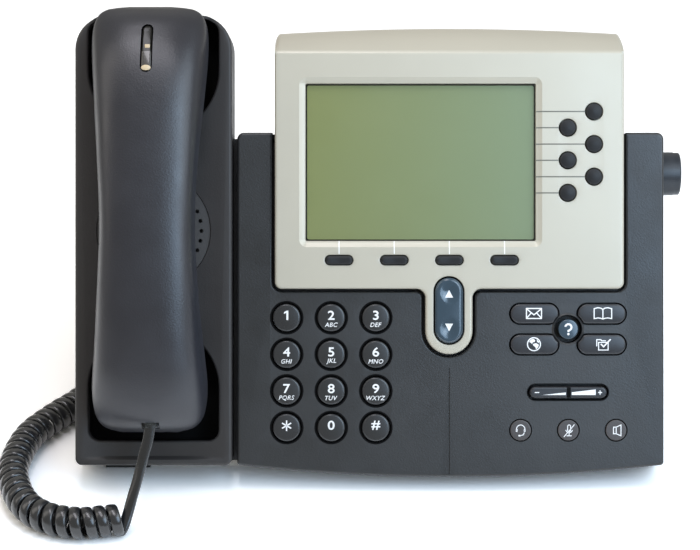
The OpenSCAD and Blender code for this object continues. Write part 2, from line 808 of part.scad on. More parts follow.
// Smooth curve through a list of [position, value] knots
function knot_at(k, x, i = 0) = (i >= len(k) - 2 || x <= k[i + 1][0]) ? i : knot_at(k, x, i + 1);
function knot_slope(k, i) = let(a = max(0, i - 1), b = min(len(k) - 1, i + 1))
    (k[b][1] - k[a][1]) / (k[b][0] - k[a][0]);
function along(k, x) = let(
    c = min(max(x, k[0][0]), k[len(k) - 1][0]),
    i = knot_at(k, c),
    h = k[i + 1][0] - k[i][0],
    s = (c - k[i][0]) / h)
    (2 * pow(s, 3) - 3 * pow(s, 2) + 1) * k[i][1] + (pow(s, 3) - 2 * s * s + s) * h * knot_slope(k, i)
    + (3 * s * s - 2 * pow(s, 3)) * k[i + 1][1] + (pow(s, 3) - s * s) * h * knot_slope(k, i + 1);

function ease(x) = let(s = min(1, max(0, x))) s * s * (3 - 2 * s);
function mix(a, b, s) = a + (b - a) * s;

// 1 inside a cup's round plan, 0 outside it
function cup_share(v, x) = let(
    ear = norm([x, max(0, ear_cup_v - v)]),
    mouth = norm([x, max(0, v - mouth_cup_v)]))
    1 - ease((min(ear, mouth) - cup_flat) / (cup_reach - cup_flat));

// Underside of the handset: the handle, sunk into the two cups, lifted at both tips
function under(v, x) = let(
    cups = mix(along(under_line, v), cup_floor, cup_share(v, x)),
    ear = ease((v - ear_lip[0]) / (ear_lip[1] - ear_lip[0])),
    mouth = ease((mouth_lip[0] - v) / (mouth_lip[0] - mouth_lip[1])))
    mix(mix(cups, lip_w, ear), lip_w, mouth);

// Fades to nothing over the last two millimetres of either tip
function tip_round(v) = let(d = min(v - mouth_end, ear_end - v) / 2) d >= 1 ? 1 : sqrt(max(0, 1 - pow(1 - d, 2)));

function arc_x(t) = sign(cos(t)) * pow(abs(cos(t)), 0.72);
function arc_y(t) = pow(abs(sin(t)), 0.72);

// Cover: inset 0 is its outside, inset shell_t its inside
function cover_point(v, t, i) = let(
    seam = along(seam_line, v) + seam_gap,
    half = min(along(half_width, v - i), along(half_width, v + i)) - i,
    crest = min(along(crest_line, v - i), along(crest_line, v + i)) - i)
    [handset_mid + half * arc_x(t), v, seam + max(0, crest - seam) * arc_y(t)];

function shell_point(v, t, i) = let(
    seam = along(seam_line, v),
    half = min(along(half_width, v - i), along(half_width, v + i)) - i,
    x = half * arc_x(t),
    low = i == 0 ? under(v, x) : max(under(v - i, x), under(v + i, x), under(v, abs(x) + i)) + i)
    [handset_mid + x, v, seam - max(0, seam - low) * arc_y(t) * tip_round(v)];

function station(s, i) = mix(mouth_end + i, ear_end - i, (1 - cos(180 * s / shell_stations)) / 2);

// A thick curved sheet: an outer and an inner grid of points joined along their edges
module thick_sheet(outer, inner, rows, cols, flip) {
    k = len(outer);
    step = cols + 1;
    quads = [
        for (i = [0:rows - 1]) for (j = [0:cols - 1]) let(a = i * step + j)
            each [[a, a + 1, a + step + 1, a + step],
                [k + a, k + a + step, k + a + step + 1, k + a + 1]],
        for (i = [0:rows - 1]) let(a = i * step, b = i * step + cols)
            each [[a, a + step, k + a + step, k + a], [b + step, b, k + b, k + b + step]],
        for (j = [0:cols - 1]) let(b = rows * step + j)
            each [[j + 1, j, k + j, k + j + 1], [b, b + 1, k + b + 1, k + b]]];
    tris = [for (q = quads) each [[q[0], q[1], q[2]], [q[0], q[2], q[3]]]];
    polyhedron(concat(outer, inner), flip ? [for (t = tris) [t[0], t[2], t[1]]] : tris, convexity = 8);
}

module handset_cover() {
    color([0.2, 0.205, 0.22]) posed() difference() {
        thick_sheet(
            [for (s = [0:shell_stations]) for (j = [0:shell_arc])
                cover_point(station(s, 0), 180 * j / shell_arc, 0)],
            [for (s = [0:shell_stations]) for (j = [0:shell_arc])
                cover_point(station(s, shell_t), 180 * j / shell_arc, shell_t)],
            shell_stations, shell_arc, false);
        lamp_slot(lamp_half + 0.2);
        block(plug_u - plug_half - plug_room, mouth_end - over, plug_w[0] - plug_room,
            plug_u + plug_half + plug_room, plug_v[1] + 2, plug_w[1] + plug_room);
    }
}

module lamp_slot(half) {
    translate([handset_mid, (lamp_v[0] + lamp_v[1]) / 2, 12]) linear_extrude(30)
        pill([2 * half, lamp_v[1] - lamp_v[0] + 2 * (half - lamp_half)]);
}

module handset_shell() {
    color([0.18, 0.185, 0.2]) posed() difference() {
        thick_sheet(
            [for (s = [0:shell_stations]) for (j = [0:shell_arc])
                shell_point(station(s, 0), 180 * j / shell_arc, 0)],
            [for (s = [0:shell_stations]) for (j = [0:shell_arc])
                shell_point(station(s, shell_t), 180 * j / shell_arc, shell_t)],
            shell_stations, shell_arc, true);
        translate([handset_mid, 0, cup_floor - over]) linear_extrude(shell_t + 2) {
            translate([0, ear_cup_v]) {
                circle(sound_hole_r, $fn = 12);
                for (turn = [0:60:300]) rotate(turn) translate([sound_ring_r, 0]) circle(sound_hole_r, $fn = 12);
            }
            for (k = [-1:1]) translate([0, mouth_cup_v + k * 3]) square([9, 1.2], center = true);
        }
    }
}

// Lens in the crown of the handset, following its slope
module message_lamp() {
    color([0.05, 0.05, 0.06]) posed() {
        n = 8;
        rows = [for (i = [0:n]) let(
            v = mix(lamp_v[0], lamp_v[1], i / n),
            d = min(v - lamp_v[0], lamp_v[1] - v),
            half = max(0.6, d >= lamp_half ? lamp_half : sqrt(lamp_half * lamp_half - pow(lamp_half - d, 2))),
            top = along(crest_line, v))
            [[-half, v, top - 3.4], [-half, v, top - 0.25], [half, v, top - 0.25], [half, v, top - 3.4]]];
        translate([handset_mid, 0, 0]) polyhedron(
            [for (r = rows) each r],
            concat([[3, 2, 1, 0]],
                [for (i = [0:n - 1]) for (j = [0:3]) let(a = 4 * i + j, b = 4 * i + (j + 1) % 4)
                    each [[a, b, b + 4], [a, b + 4, a + 4]]],
                [[4 * n, 4 * n + 1, 4 * n + 2, 4 * n + 3]]));
    }
}

module handset_capsules() {
    color([0.35, 0.35, 0.37]) posed() {
        translate([handset_mid, ear_cup_v - 1.2, cup_floor + shell_t + capsule_lift]) cylinder(r = 13.4, h = 8);
        translate([handset_mid, mouth_cup_v + 1, cup_floor + shell_t + capsule_lift]) cylinder(r = 5, h = 6);
    }
}

module handset_plug() {
    mid_w = (plug_w[0] + plug_w[1]) / 2;
    color([0.75, 0.77, 0.78]) posed() {
        block(plug_u - plug_half, plug_v[0], plug_w[0], plug_u + plug_half, plug_v[1], plug_w[1]);
        block(plug_u - plug_neck[0] / 2, mouth_end, mid_w - plug_neck[1] / 2,
            plug_u + plug_neck[0] / 2, plug_v[0] + over, mid_w + plug_neck[1] / 2);
    }
}

module base_plug() {
    color([0.75, 0.77, 0.78]) on_table() {
        s = column_socket_list[0];
        translate([s[0] - 3.6, column_socket_y - 2.9, column_ledge_z - 4.2]) cube([7.2, 5.8, 14]);
    }
}

// ---- cord ----

function unit(a) = a / norm(a);
function heading(p, i) = unit(p[min(i + 1, len(p) - 1)] - p[max(i - 1, 0)]);

// A round tube swept along a route, with one ring of points at each point of the route
module tube(route, r, sides, side_axis) {
    n = len(route);
    rings = [for (i = [0:n - 1]) let(
        t = heading(route, i),
        a = unit(cross(t, side_axis)),
        b = cross(t, a))
        for (k = [0:sides - 1]) route[i] + r * (cos(360 * k / sides) * a + sin(360 * k / sides) * b)];
    faces = concat(
        [[for (k = [0:sides - 1]) sides - 1 - k]],
        [for (i = [0:n - 2]) for (k = [0:sides - 1]) let(
            a = i * sides + k, b = i * sides + (k + 1) % sides)
            each [[a, b, b + sides], [a, b + sides, a + sides]]],
        [[for (k = [0:sides - 1]) (n - 1) * sides + k]]);
    polyhedron(rings, faces, convexity = 6);
}

module cord_lead() {
    color([0.1, 0.1, 0.11]) on_table() tube(lead_route, strand_w / 2, 8, [1, 0, 0]);
}

module cord_coil() {
    color([0.1, 0.1, 0.11]) on_table() tube([for (p = coil_route) [p[0], p[1], coil_d / 2]],
        coil_d / 2, 12, [0, 0, 1]);
}

module cord_tail() {
    color([0.1, 0.1, 0.11]) on_table() tube(tail_route, strand_w / 2, 8, [1, 0.2, 0]);
}

// ---- key sub-parts ----

module dial_key(i) {
    color([0.09, 0.09, 0.1]) posed() round_key(dial_pos(i), dial_r, face_key_top);
}

module line_key(i) {
    color([0.09, 0.09, 0.1]) posed() round_key(line_at[i], line_r, bezel_raise + 1.5);
}

module soft_key(i) {
    color([0.09, 0.09, 0.1]) posed() pill_key(soft_pos(i), soft_size, bezel_raise + 1.3);
}

module function_key(i) {
    color([0.09, 0.09, 0.1]) posed() menu_key(i);
}

module audio_key(i) {
    color([0.17, 0.175, 0.19]) posed() round_key(audio_pos(i), audio_r, 0.6);
}

module help_key() {
    color([0.24, 0.3, 0.37]) posed() round_key(help_at, help_r, 2);
}

module scroll_rocker() {
    color([0.22, 0.3, 0.37]) posed() difference() {
        rocker(scroll_at, scroll_size, bezel_raise + 1.3, 0);
        for (s = [-1, 1]) translate([scroll_at[0], scroll_at[1] + s * 7.8, bezel_raise + 20.5]) sphere(20, $fn = 96);
    }
}

module volume_rocker() {
    color([0.12, 0.12, 0.13]) posed() difference() {
        rocker(volume_at, volume_size, 1.8, 90);
        block(volume_at[0] - 0.4, volume_at[1] - 4, 1.2, volume_at[0] + 0.4, volume_at[1] + 4, 3);
    }
}

front_housing();
handset_cradle();
rear_housing();
display_bezel();
display_window();
lcd_module();
main_board();
key_mats();
speaker_driver();
speaker_grille();
port_sockets();
case_screws();
front_feet();
stand_axle();
footstand();
stand_pads();
stand_knob();
knob_spring();
hook_plunger();
handset_cover();
handset_shell();
message_lamp();
handset_capsules();
handset_plug();
base_plug();
cord_lead();
cord_coil();
cord_tail();
scroll_rocker();
help_key();
volume_rocker();
for (i = [0:len(dial_names) - 1]) dial_key(i);
for (i = [0:len(line_names) - 1]) line_key(i);
for (i = [0:len(soft_names) - 1]) soft_key(i);
for (i = [0:len(menu_names) - 1]) function_key(i);
for (i = [0:len(audio_names) - 1]) audio_key(i);
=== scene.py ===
"""Looks of a desk IP phone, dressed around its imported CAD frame.

Pieces are drawn in millimetres in the frame that suits them and then brought to the row frame in metres:
FACE leans back with the phone (u to the right, v up the face, w out of it) and TABLE keeps the row axes.
"""

from math import atan2, ceil, cos, degrees, hypot, pi, radians, sin, sqrt, tan

import bmesh
import bpy
import numpy as np
from mathutils import Matrix, Vector


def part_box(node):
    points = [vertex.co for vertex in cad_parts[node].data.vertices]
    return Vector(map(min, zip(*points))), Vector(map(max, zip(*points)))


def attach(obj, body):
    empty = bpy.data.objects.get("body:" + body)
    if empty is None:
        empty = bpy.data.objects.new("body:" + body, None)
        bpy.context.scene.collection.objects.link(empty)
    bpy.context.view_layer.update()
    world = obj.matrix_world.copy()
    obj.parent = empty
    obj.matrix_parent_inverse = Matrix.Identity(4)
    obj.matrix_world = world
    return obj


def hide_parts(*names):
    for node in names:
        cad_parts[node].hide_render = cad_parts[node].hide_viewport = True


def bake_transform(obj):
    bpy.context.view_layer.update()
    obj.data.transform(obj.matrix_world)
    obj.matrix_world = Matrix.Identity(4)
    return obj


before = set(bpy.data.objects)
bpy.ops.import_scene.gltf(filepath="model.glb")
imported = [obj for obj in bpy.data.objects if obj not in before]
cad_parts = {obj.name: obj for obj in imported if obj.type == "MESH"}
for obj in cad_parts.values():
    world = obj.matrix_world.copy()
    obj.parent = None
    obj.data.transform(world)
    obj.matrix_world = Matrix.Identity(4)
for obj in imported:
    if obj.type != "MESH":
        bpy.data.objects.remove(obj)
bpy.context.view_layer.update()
scene = bpy.context.scene

# ---- frames, in millimetres ----

MM = 0.001
TILT = radians(60)
CENTRE = (4.6, 66.95)
RISE = 13.2


def move(x, y, z=0):
    return Matrix.Translation((x, y, z))


TABLE = Matrix.Scale(MM, 4) @ move(-CENTRE[0], -CENTRE[1])
FACE = TABLE @ move(0, 0, RISE) @ Matrix.Rotation(TILT, 4, "X")

# ---- camera, square to the face ----

LOOK_AT = FACE @ Vector((-8.8, 83.6, 0))
CAMERA_DISTANCE = 1.0
FRAME_WIDTH = 0.308
SENSOR = 36


def add_object(name, data):
    obj = bpy.data.objects.new(name, data)
    scene.collection.objects.link(obj)
    return obj


def add_facing(name, data, at, away):
    """Adds a camera or a lamp that looks back along the direction away."""
    obj = add_object(name, data)
    obj.location = at
    obj.rotation_mode = "QUATERNION"
    obj.rotation_quaternion = away.to_track_quat("Z", "Y")
    return obj


def make_camera():
    data = bpy.data.cameras.new("camera")
    data.sensor_width = SENSOR
    data.lens = SENSOR * CAMERA_DISTANCE / FRAME_WIDTH
    data.clip_start = 0.05
    out = (FACE.to_3x3() @ Vector((0, 0, 1))).normalized()
    scene.camera = add_facing("camera", data, LOOK_AT + out * CAMERA_DISTANCE, out)


make_camera()

# ---- materials ----

MICRON = 1e-6
FLOOR_SEEN = 1.38
FLOOR_BOUNCE = 0.65
# The screen's green-grey at its left and right ends. The shift from warm to cool blue towards the right is
# painted light, the sheen of the cool lamps.
LCD_LEFT_WARM_LIT = (135, 136, 83)
LCD_RIGHT_COOL_LIT = (129, 141, 116)
LCD_PATCH = (118, 134, 102)
LCD_GAP = (102, 116, 86)
DOT_PITCH = 0.00055
DOT_GAP = 0.00004


def tone(colour, factor=1, lift=0):
    """A colour of the screen, 0 to 255, as linear light, lifted and then scaled."""
    parts = [c / 255 for c in colour]
    light = [c / 12.92 if c <= 0.04045 else ((c + 0.055) / 1.055) ** 2.4 for c in parts]
    return [*(min(1, (c + lift) * factor) for c in light), 1]


class Graph:
    """A material's nodes, with a short way to add and join them."""

    def __init__(self, name):
        self.material = bpy.data.materials.new(name)
        self.material.use_nodes = True
        self.nodes = self.material.node_tree.nodes
        self.shader = self.nodes["Principled BSDF"]
        self.place = self.add("ShaderNodeTexCoord").outputs["Object"]

    def put(self, node, inputs):
        """Sets a node's inputs, or joins them where the value is another node's output."""
        for key, value in inputs.items():
            if isinstance(value, bpy.types.NodeSocket):
                self.material.node_tree.links.new(value, node.inputs[key])
            else:
                node.inputs[key].default_value = value
        return node

    def add(self, kind, inputs=None, **settings):
        node = self.nodes.new(kind)
        for key, value in settings.items():
            setattr(node, key, value)
        return self.put(node, inputs or {})

    def surface(self, shader):
        self.put(self.nodes["Material Output"], {"Surface": shader.outputs[0]})
        return self.material

    def noise(self, scale, detail=3):
        inputs = {"Vector": self.place, "Scale": scale, "Detail": detail, "Roughness": 0.55}
        return self.add("ShaderNodeTexNoise", inputs).outputs["Fac"]

    def span(self, source, low, high, start=0.3, end=0.7):
        """Maps what lies from start to end onto low to high."""
        inputs = {"Value": source, "From Min": start, "From Max": end, "To Min": low, "To Max": high}
        return self.add("ShaderNodeMapRange", inputs).outputs["Result"]

    def mix(self, share, a, b):
        return self.add("ShaderNodeMix", {0: share, 6: a, 7: b}, data_type="RGBA").outputs[2]

    def bump(self, source, distance):
        inputs = {"Height": source, "Distance": distance, "Strength": 1}
        return self.add("ShaderNodeBump", inputs).outputs["Normal"]


def finish(name, colour, rough, grain=30, grain_scale=1700, mottle=0.07, wear=0.12, spread=0.06, metallic=0,
           coat=0, coat_rough=0.1, specular=0.5):
    """Moulded or painted surface: mottled colour, lighter edges, uneven gloss, and a grain in microns."""
    g = Graph(name)
    body = g.mix(g.span(g.noise(26), 0, 1), tone(colour, 1 - mottle), tone(colour, 1 + mottle))
    if wear:
        edge = g.span(g.add("ShaderNodeNewGeometry").outputs["Pointiness"], 0, wear, 0.5, 0.6)
        body = g.mix(edge, body, tone(colour, 1.4, 0.12))
    gloss = g.span(g.noise(60, 4), rough - spread, rough + spread)
    g.put(g.shader, {"Base Color": body, "Roughness": gloss, "Metallic": metallic, "Coat Weight": coat,
                     "Coat Roughness": coat_rough, "Specular IOR Level": specular})
    if grain:
        g.put(g.shader, {"Normal": g.bump(g.noise(grain_scale, 2), grain * MICRON)})
    return g.material


def lcd_finish():
    """Switched-off reflective display: green-grey with a faint dot matrix, and a painted cool sheen towards
    the right.
    """
    g = Graph("lcd_glass")
    across = g.add("ShaderNodeSeparateXYZ", {"Vector": g.place}).outputs["X"]
    # Painted light: the colour runs from warm on the left to cool blue on the right.
    body = g.mix(g.span(across, 0, 1, -0.04, 0.08), tone(LCD_LEFT_WARM_LIT), tone(LCD_RIGHT_COOL_LIT))
    body = g.mix(g.span(g.noise(18), 0, 0.1), body, tone(LCD_PATCH))
    dots = g.add("ShaderNodeTexBrick", {"Vector": g.place, "Scale": 1, "Mortar Size": DOT_GAP,
                                        "Brick Width": DOT_PITCH, "Row Height": DOT_PITCH}, offset=0)
    body = g.mix(g.span(dots.outputs["Fac"], 0, 0.06, 0, 1), body, tone(LCD_GAP))
    g.put(g.shader, {"Base Color": body, "Roughness": g.span(g.noise(40), 0.3, 0.42), "Coat Weight": 0.3})
    return g.material


def floor_finish():
    """White table: brighter to the eye and to reflections than to the light that it throws back."""
    g = Graph("floor")
    g.nodes.remove(g.shader)
    path = g.add("ShaderNodeLightPath").outputs
    seen = path["Is Camera Ray"]
    for other in ("Is Glossy Ray", "Is Transmission Ray"):
        seen = g.add("ShaderNodeMath", {0: seen, 1: path[other]}, operation="MAXIMUM").outputs[0]
    return g.surface(g.add("ShaderNodeBsdfDiffuse", {"Color": g.span(seen, FLOOR_BOUNCE, FLOOR_SEEN, 0, 1)}))


def clear_finish(name, tint, gloss=0.06):
    """Clear sheet: see-through, with a soft reflection that grows towards grazing views."""
    g = Graph(name)
    g.nodes.remove(g.shader)
    clear = g.add("ShaderNodeBsdfTransparent", {"Color": [*tint, 1]})
    shine = g.add("ShaderNodeBsdfGlossy", {"Roughness": g.span(g.noise(90), gloss, gloss + 0.05)})
    slant = g.add("ShaderNodeLayerWeight", {"Blend": 0.5}).outputs["Facing"]
    rate = g.add("ShaderNodeMath", {0: slant, 1: 5}, operation="POWER").outputs[0]
    share = g.span(rate, 0.03, 1, 0, 1)
    return g.surface(g.add("ShaderNodeMixShader", {0: share, 1: clear.outputs[0], 2: shine.outputs[0]}))


PLASTIC = finish("charcoal_plastic", (23, 24, 26), 0.42, 70, 1300, specular=0.65)
CRADLE = finish("cradle_plastic", (50, 48, 48), 0.5, 60, 1300, specular=0.42)
HANDSET = finish("handset_plastic", (28, 29, 37), 0.38, 80, 1300, wear=0.05, specular=0.7)
REAR = finish("rear_plastic", (40, 42, 46), 0.55, 60, 1100)
# Near-black colour laid into pockets, key wells, holes, gaps and along the screen's edge: painted shade where
# those recesses fall dark.
PAINTED_SHADE = finish("well_shadow", (6, 6, 7), 0.7, 0, wear=0, specular=0.1)
SILVER = finish("silver_paint", (190, 184, 168), 0.36, 8, 3200, mottle=0.02, wear=0, spread=0.04,
                metallic=0.15, coat=0.1)
KEY_BLACK = finish("key_black", (38, 39, 41), 0.3, 10, wear=0.1, coat=0.25, coat_rough=0.12)
KEY_GREY = finish("key_grey", (38, 39, 43), 0.34, 20)
KEY_MATTE = finish("key_matte_black", (28, 29, 31), 0.5, specular=0.3)
KEY_WARM = finish("key_warm_grey", (68, 64, 64), 0.42)
KEY_BLUE = finish("key_blue", (44, 64, 78), 0.2, 0, mottle=0.05, coat=0.5)
PRINT = finish("white_print", (240, 240, 240), 0.5, 0, mottle=0.01, wear=0)
LEADER = finish("grey_print", (112, 112, 104), 0.5, 0, mottle=0.02, wear=0)
RUBBER = finish("rubber_black", (34, 34, 36), 0.75, 80, 900)
CORD = finish("cord_vinyl", (20, 21, 24), 0.26, 10, mottle=0.1, coat=0.5, coat_rough=0.16)
STEEL = finish("steel", (170, 172, 176), 0.28, 4, metallic=1, wear=0)
GOLD = finish("contact_gold", (212, 175, 92), 0.25, 0, metallic=1, wear=0)
LENS = finish("lamp_lens", (14, 14, 12), 0.12, 0, specular=0.3, wear=0)
LENS_LOW = finish("lamp_tube", (46, 42, 38), 0.2, 0, coat=0.5, coat_rough=0.05, wear=0)
# Pale beige for the lamp's diffuser, and for a painted glint on the lens.
DIFFUSER_AND_GLINT = finish("lamp_diffuser_and_glint", (214, 192, 158), 0.3, 0, wear=0)
KNOB_PLASTIC = finish("knob_plastic", (38, 42, 48), 0.36, 6, specular=0.42)
BOARD = finish("circuit_board", (30, 84, 56), 0.3, 10, wear=0)
SPEAKER = finish("speaker_frame", (90, 90, 94), 0.4, 10, metallic=0.5)
SOCKET = finish("socket_plastic", (30, 30, 33), 0.3, 10, mottle=0.04)
FLOOR = floor_finish()
LCD = lcd_finish()
PANE = clear_finish("display_pane", (0.97, 0.99, 0.96))
CLEAR = clear_finish("plug_clear", (0.82, 0.86, 0.88), 0.1)

# ---- shape helpers ----

ARC_STEP = radians(9)


def mix(a, b, s):
    return a + (b - a) * s


def ease(x):
    """A smooth step from 0 to 1."""
    s = min(1, max(0, x))
    return s * s * (3 - 2 * s)


def arc(at, r, start, end, n):
    """Points of an arc between two angles in degrees."""
    turns = [radians(mix(start, end, i / n)) for i in range(n + 1)]
    return [(at[0] + r * cos(t), at[1] + r * sin(t)) for t in turns]


def circle(at, r, n=48):
    return arc(at, r, 0, 360, n)[:-1]


def half_turn(angle):
    """An angle brought between minus and plus half a turn."""
    return (angle + pi) % (2 * pi) - pi


def soft_loop(corners):
    """Closed loop through anticlockwise corners (x, y, radius), each rounded by its radius."""
    out = []
    for i, (x, y, r) in enumerate(corners):
        if not r:
            out.append((x, y))
            continue
        p = Vector((x, y))
        back = (Vector(corners[i - 1][:2]) - p).normalized()
        ahead = (Vector(corners[(i + 1) % len(corners)][:2]) - p).normalized()
        half = back.angle(ahead) / 2
        centre = p + (back + ahead).normalized() * (r / sin(half))
        start, end = (p + d * (r / tan(half)) - centre for d in (back, ahead))
        a = atan2(start.y, start.x)
        turn = half_turn(atan2(end.y, end.x) - a)
        k = max(2, ceil(abs(turn) / ARC_STEP))
        turns = [a + turn * j / k for j in range(k + 1)]
        out += [(centre.x + r * cos(t), centre.y + r * sin(t)) for t in turns]
    return out


def box_loop(l, b, r, t, rb, rt):
    return soft_loop([(l, b, rb), (r, b, rb), (r, t, rt), (l, t, rt)])


def pill_loop(at, size, grow=0):
    w, h = size[0] / 2 + grow, size[1] / 2 + grow
    r = min(w, h) * 0.999
    return box_loop(at[0] - w, at[1] - h, at[0] + w, at[1] + h, r, r)


def inset(loop, d):
    """An anticlockwise loop moved inwards by d."""
    p = np.array(loop, float)
    side = np.roll(p, -1, 0) - p
    side /= np.maximum(np.linalg.norm(side, axis=1, keepdims=True), 1e-9)
    ahead = np.stack([-side[:, 1], side[:, 0]], axis=1)
    back = np.roll(ahead, 1, 0)
    share = 1 + (ahead * back).sum(1, keepdims=True)
    return p + d * (ahead + back) / np.maximum(share, 0.2)


def power(x, e):
    """A power that keeps the sign."""
    return np.sign(x) * np.abs(x) ** e


def rounded(r, top, n=4):
    """Steps (inset, height) up a rounded edge that ends at a height."""
    turns = [pi / 2 * i / n for i in range(n + 1)]
    return [(r * (1 - cos(t)), top - r + r * sin(t)) for t in turns]


def outwards(bm):
    """Turns every face of a solid outwards."""
    bmesh.ops.recalc_face_normals(bm, faces=bm.faces)
    return bm


def skin(bm, rings):
    """Quads between closed rings of the same length."""
    for a, b in zip(rings, rings[1:]):
        n = len(a)
        for i in range(n):
            j = (i + 1) % n
            corners = list(dict.fromkeys((a[i], a[j], b[j], b[i])))
            if len(corners) > 2:
                bm.faces.new(corners)


def tube(bm, rings):
    """A skin that ends in a face at either end."""
    skin(bm, rings)
    for ring in (rings[0], rings[-1]):
        bm.faces.new(ring)
    return bm


def cap(bm, rings):
    """Fills the flat face between rings."""
    pairs = [(ring[i - 1], ring[i]) for ring in rings for i in range(len(ring))]
    edges = [bm.edges.get(pair) or bm.edges.new(pair) for pair in pairs]
    bmesh.ops.triangle_fill(bm, edges=edges, use_beauty=True, normal=(0, 0, 1))


def walls(bm, loops, floors=False):
    """Skins every (loop, steps, side) and closes the top between them. Returns their lowest rings."""
    lows, tops = [], []
    for loop, steps, side in loops:
        rings = [[bm.verts.new((x, y, high)) for x, y in inset(loop, side * d)] for d, high in steps]
        skin(bm, rings)
        if floors:
            cap(bm, rings[:1])
        lows.append(rings[0])
        tops.append(rings[-1])
    cap(bm, tops)
    return lows


def plate(outer, rim, holes=(), foot=True, bm=None):
    """A plate drawn by its outer loop and holes (loop, steps). Steps are (how far it recedes, height)."""
    bm = bm or bmesh.new()
    lows = walls(bm, [(outer, rim, 1), *((*hole, -1) for hole in holes)])
    if foot:
        cap(bm, lows)
    return outwards(bm)


def lathe(profile, at=(0, 0), n=72, bm=None):
    """A solid turned about w through (r, w) steps. A step with r 0 is a point on the axis."""
    bm = bm or bmesh.new()
    rings = []
    for r, w in profile:
        if r:
            rings.append([bm.verts.new((x, y, w)) for x, y in circle(at, r, n)])
        else:
            rings.append([bm.verts.new((*at, w))] * n)
    skin(bm, rings)
    return outwards(bm)


def collar(at, r, steps, n=64, bm=None):
    """A ring round a key's well, drawn by (how far outside r, height) steps."""
    return lathe([(r + d, h) for d, h in steps], at, n, bm)


def ribbon(bm, points, width, low, high, closed=False):
    """A flat band of a width along points, standing from low to high."""
    p = np.array(points, float)
    n = len(p)
    rings = []
    for i in range(n):
        back = p[i] - p[i - 1] if i or closed else p[1] - p[0]
        ahead = p[(i + 1) % n] - p[i] if i < n - 1 or closed else p[i] - p[i - 1]
        back, ahead = back / np.linalg.norm(back), ahead / np.linalg.norm(ahead)
        side = np.array([-(back + ahead)[1], (back + ahead)[0]])
        side *= width / 2 / max(0.35, (side @ side) / 2)
        a, b = p[i] + side, p[i] - side
        rings.append([bm.verts.new((*q, h)) for q, h in ((a, low), (b, low), (b, high), (a, high))])
    if closed:
        skin(bm, [*rings, rings[0]])
    else:
        tube(bm, rings)
    return outwards(bm)


def patch(bm, loop, low, high):
    """A small flat shape standing from low to high."""
    return plate(loop, [(0, low), (0, high)], bm=bm)


def slab(l, b, low, r, t, high, edge, bm=None):
    """A block with rounded edges all round its top and its upright corners."""
    steps = [(edge, low), (0, low + edge), *rounded(edge, high, 2)]
    return plate(box_loop(l, b, r, t, edge, edge), steps, bm=bm)


def to_mesh(name, bm):
    mesh = bpy.data.meshes.new(name)
    bm.to_mesh(mesh)
    bm.free()
    return mesh


def merge(bm, other):
    mesh = to_mesh("part", other)
    bm.from_mesh(mesh)
    bpy.data.meshes.remove(mesh)


def slice_at(bm, places, axis):
    """Cuts a mesh across u (axis 0) or v (axis 1), so that it can be bent there."""
    normal = Vector((1 - axis, axis, 0))
    for at in places:
        whole = [*bm.verts, *bm.edges, *bm.faces]
        bmesh.ops.bisect_plane(bm, geom=whole, plane_co=normal * at, plane_no=normal)


def lift(bm, rise):
    """Raises every point by rise(x, y)."""
    for p in bm.verts:
        p.co.z += rise(p.co.x, p.co.y)


def piece(name, bm, materials, body, replaces=(), place=FACE, angle=32, flat=True, blend=None):
    """Finishes a bmesh as a named piece of the phone that rides on a body."""
    bmesh.ops.remove_doubles(bm, verts=bm.verts, dist=1e-5)
    mesh = to_mesh(name, bm)
    mesh.transform(place)
    for material in materials if isinstance(materials, list) else [materials]:
        mesh.materials.append(material)
    mesh.shade_smooth()
    mesh.set_sharp_from_angle(angle=radians(angle))
    obj = add_object(name, mesh)
    if flat:
        obj.modifiers.new("flat_faces", "WEIGHTED_NORMAL").keep_sharp = True
    if blend:
        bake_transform(obj)
    else:
        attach(obj, body)
    if replaces:
        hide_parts(*replaces)
    return obj


CAP_HEIGHT = 0.73
PRINT_STAND = 0.05


def letters(bm, text, tall, at, bold, shear=0, spacing=1, wide=1):
    """Lettering of a cap height, centred on a face point, thickened by copies that are moved by bold."""
    curve = bpy.data.curves.new("lettering", "FONT")
    curve.body = text
    curve.size = tall / CAP_HEIGHT
    curve.shear = shear
    curve.space_character = spacing
    curve.extrude = PRINT_STAND / 2
    curve.resolution_u = 4
    holder = add_object("lettering", curve)
    bpy.context.view_layer.update()
    mesh = bpy.data.meshes.new_from_object(holder)
    co = np.array([v.co for v in mesh.vertices])
    middle = (co.min(0) + co.max(0)) / 2
    centred = Matrix.Diagonal((wide, 1, 1, 1)) @ move(-middle[0], -middle[1])
    mesh.transform(move(*at, PRINT_STAND / 2) @ centred)
    for x, y in ((bold, 0), (-2 * bold, 0), (bold, bold), (0, -2 * bold)):
        mesh.transform(move(x, y))
        bm.from_mesh(mesh)
    bpy.data.objects.remove(holder)
    bpy.data.curves.remove(curve)
    bpy.data.meshes.remove(mesh)


# ---- the cord: its routes are those of the CAD source, in the TABLE frame ----

# UNWIND is the stretch over which the coil opens into the tail, OVERLAP how many of its points the tail takes
# over and SPLIT how much of the coil belongs to the lead.
LEAD_ROUTE = [(-94.6, -9.4, 41.1), (-95.8, -12.9, 34.9), (-97.3, -15.5, 30.4), (-98.6, -18.2, 25.8),
              (-100.4, -22, 20.1), (-102.4, -26, 14.3), (-104.2, -30.2, 8.8), (-106, -34, 4.4),
              (-107.6, -35.4, 2.4)]
COIL_ROUTE = [(-108, -32), (-116, -33.4), (-124.4, -34.5), (-133.1, -33), (-139.9, -30.1), (-147.6, -23.6),
              (-153.8, -12.4), (-158, 3.5), (-157, 19.9), (-153.6, 32.7), (-147.5, 42.9), (-141.1, 51.6),
              (-136.2, 57.5), (-130, 67), (-126, 81), (-121, 95.5), (-115, 108.5), (-105, 117.5),
              (-92, 119.5), (-80, 113.5), (-74, 102), (-74, 88), (-77, 74)]
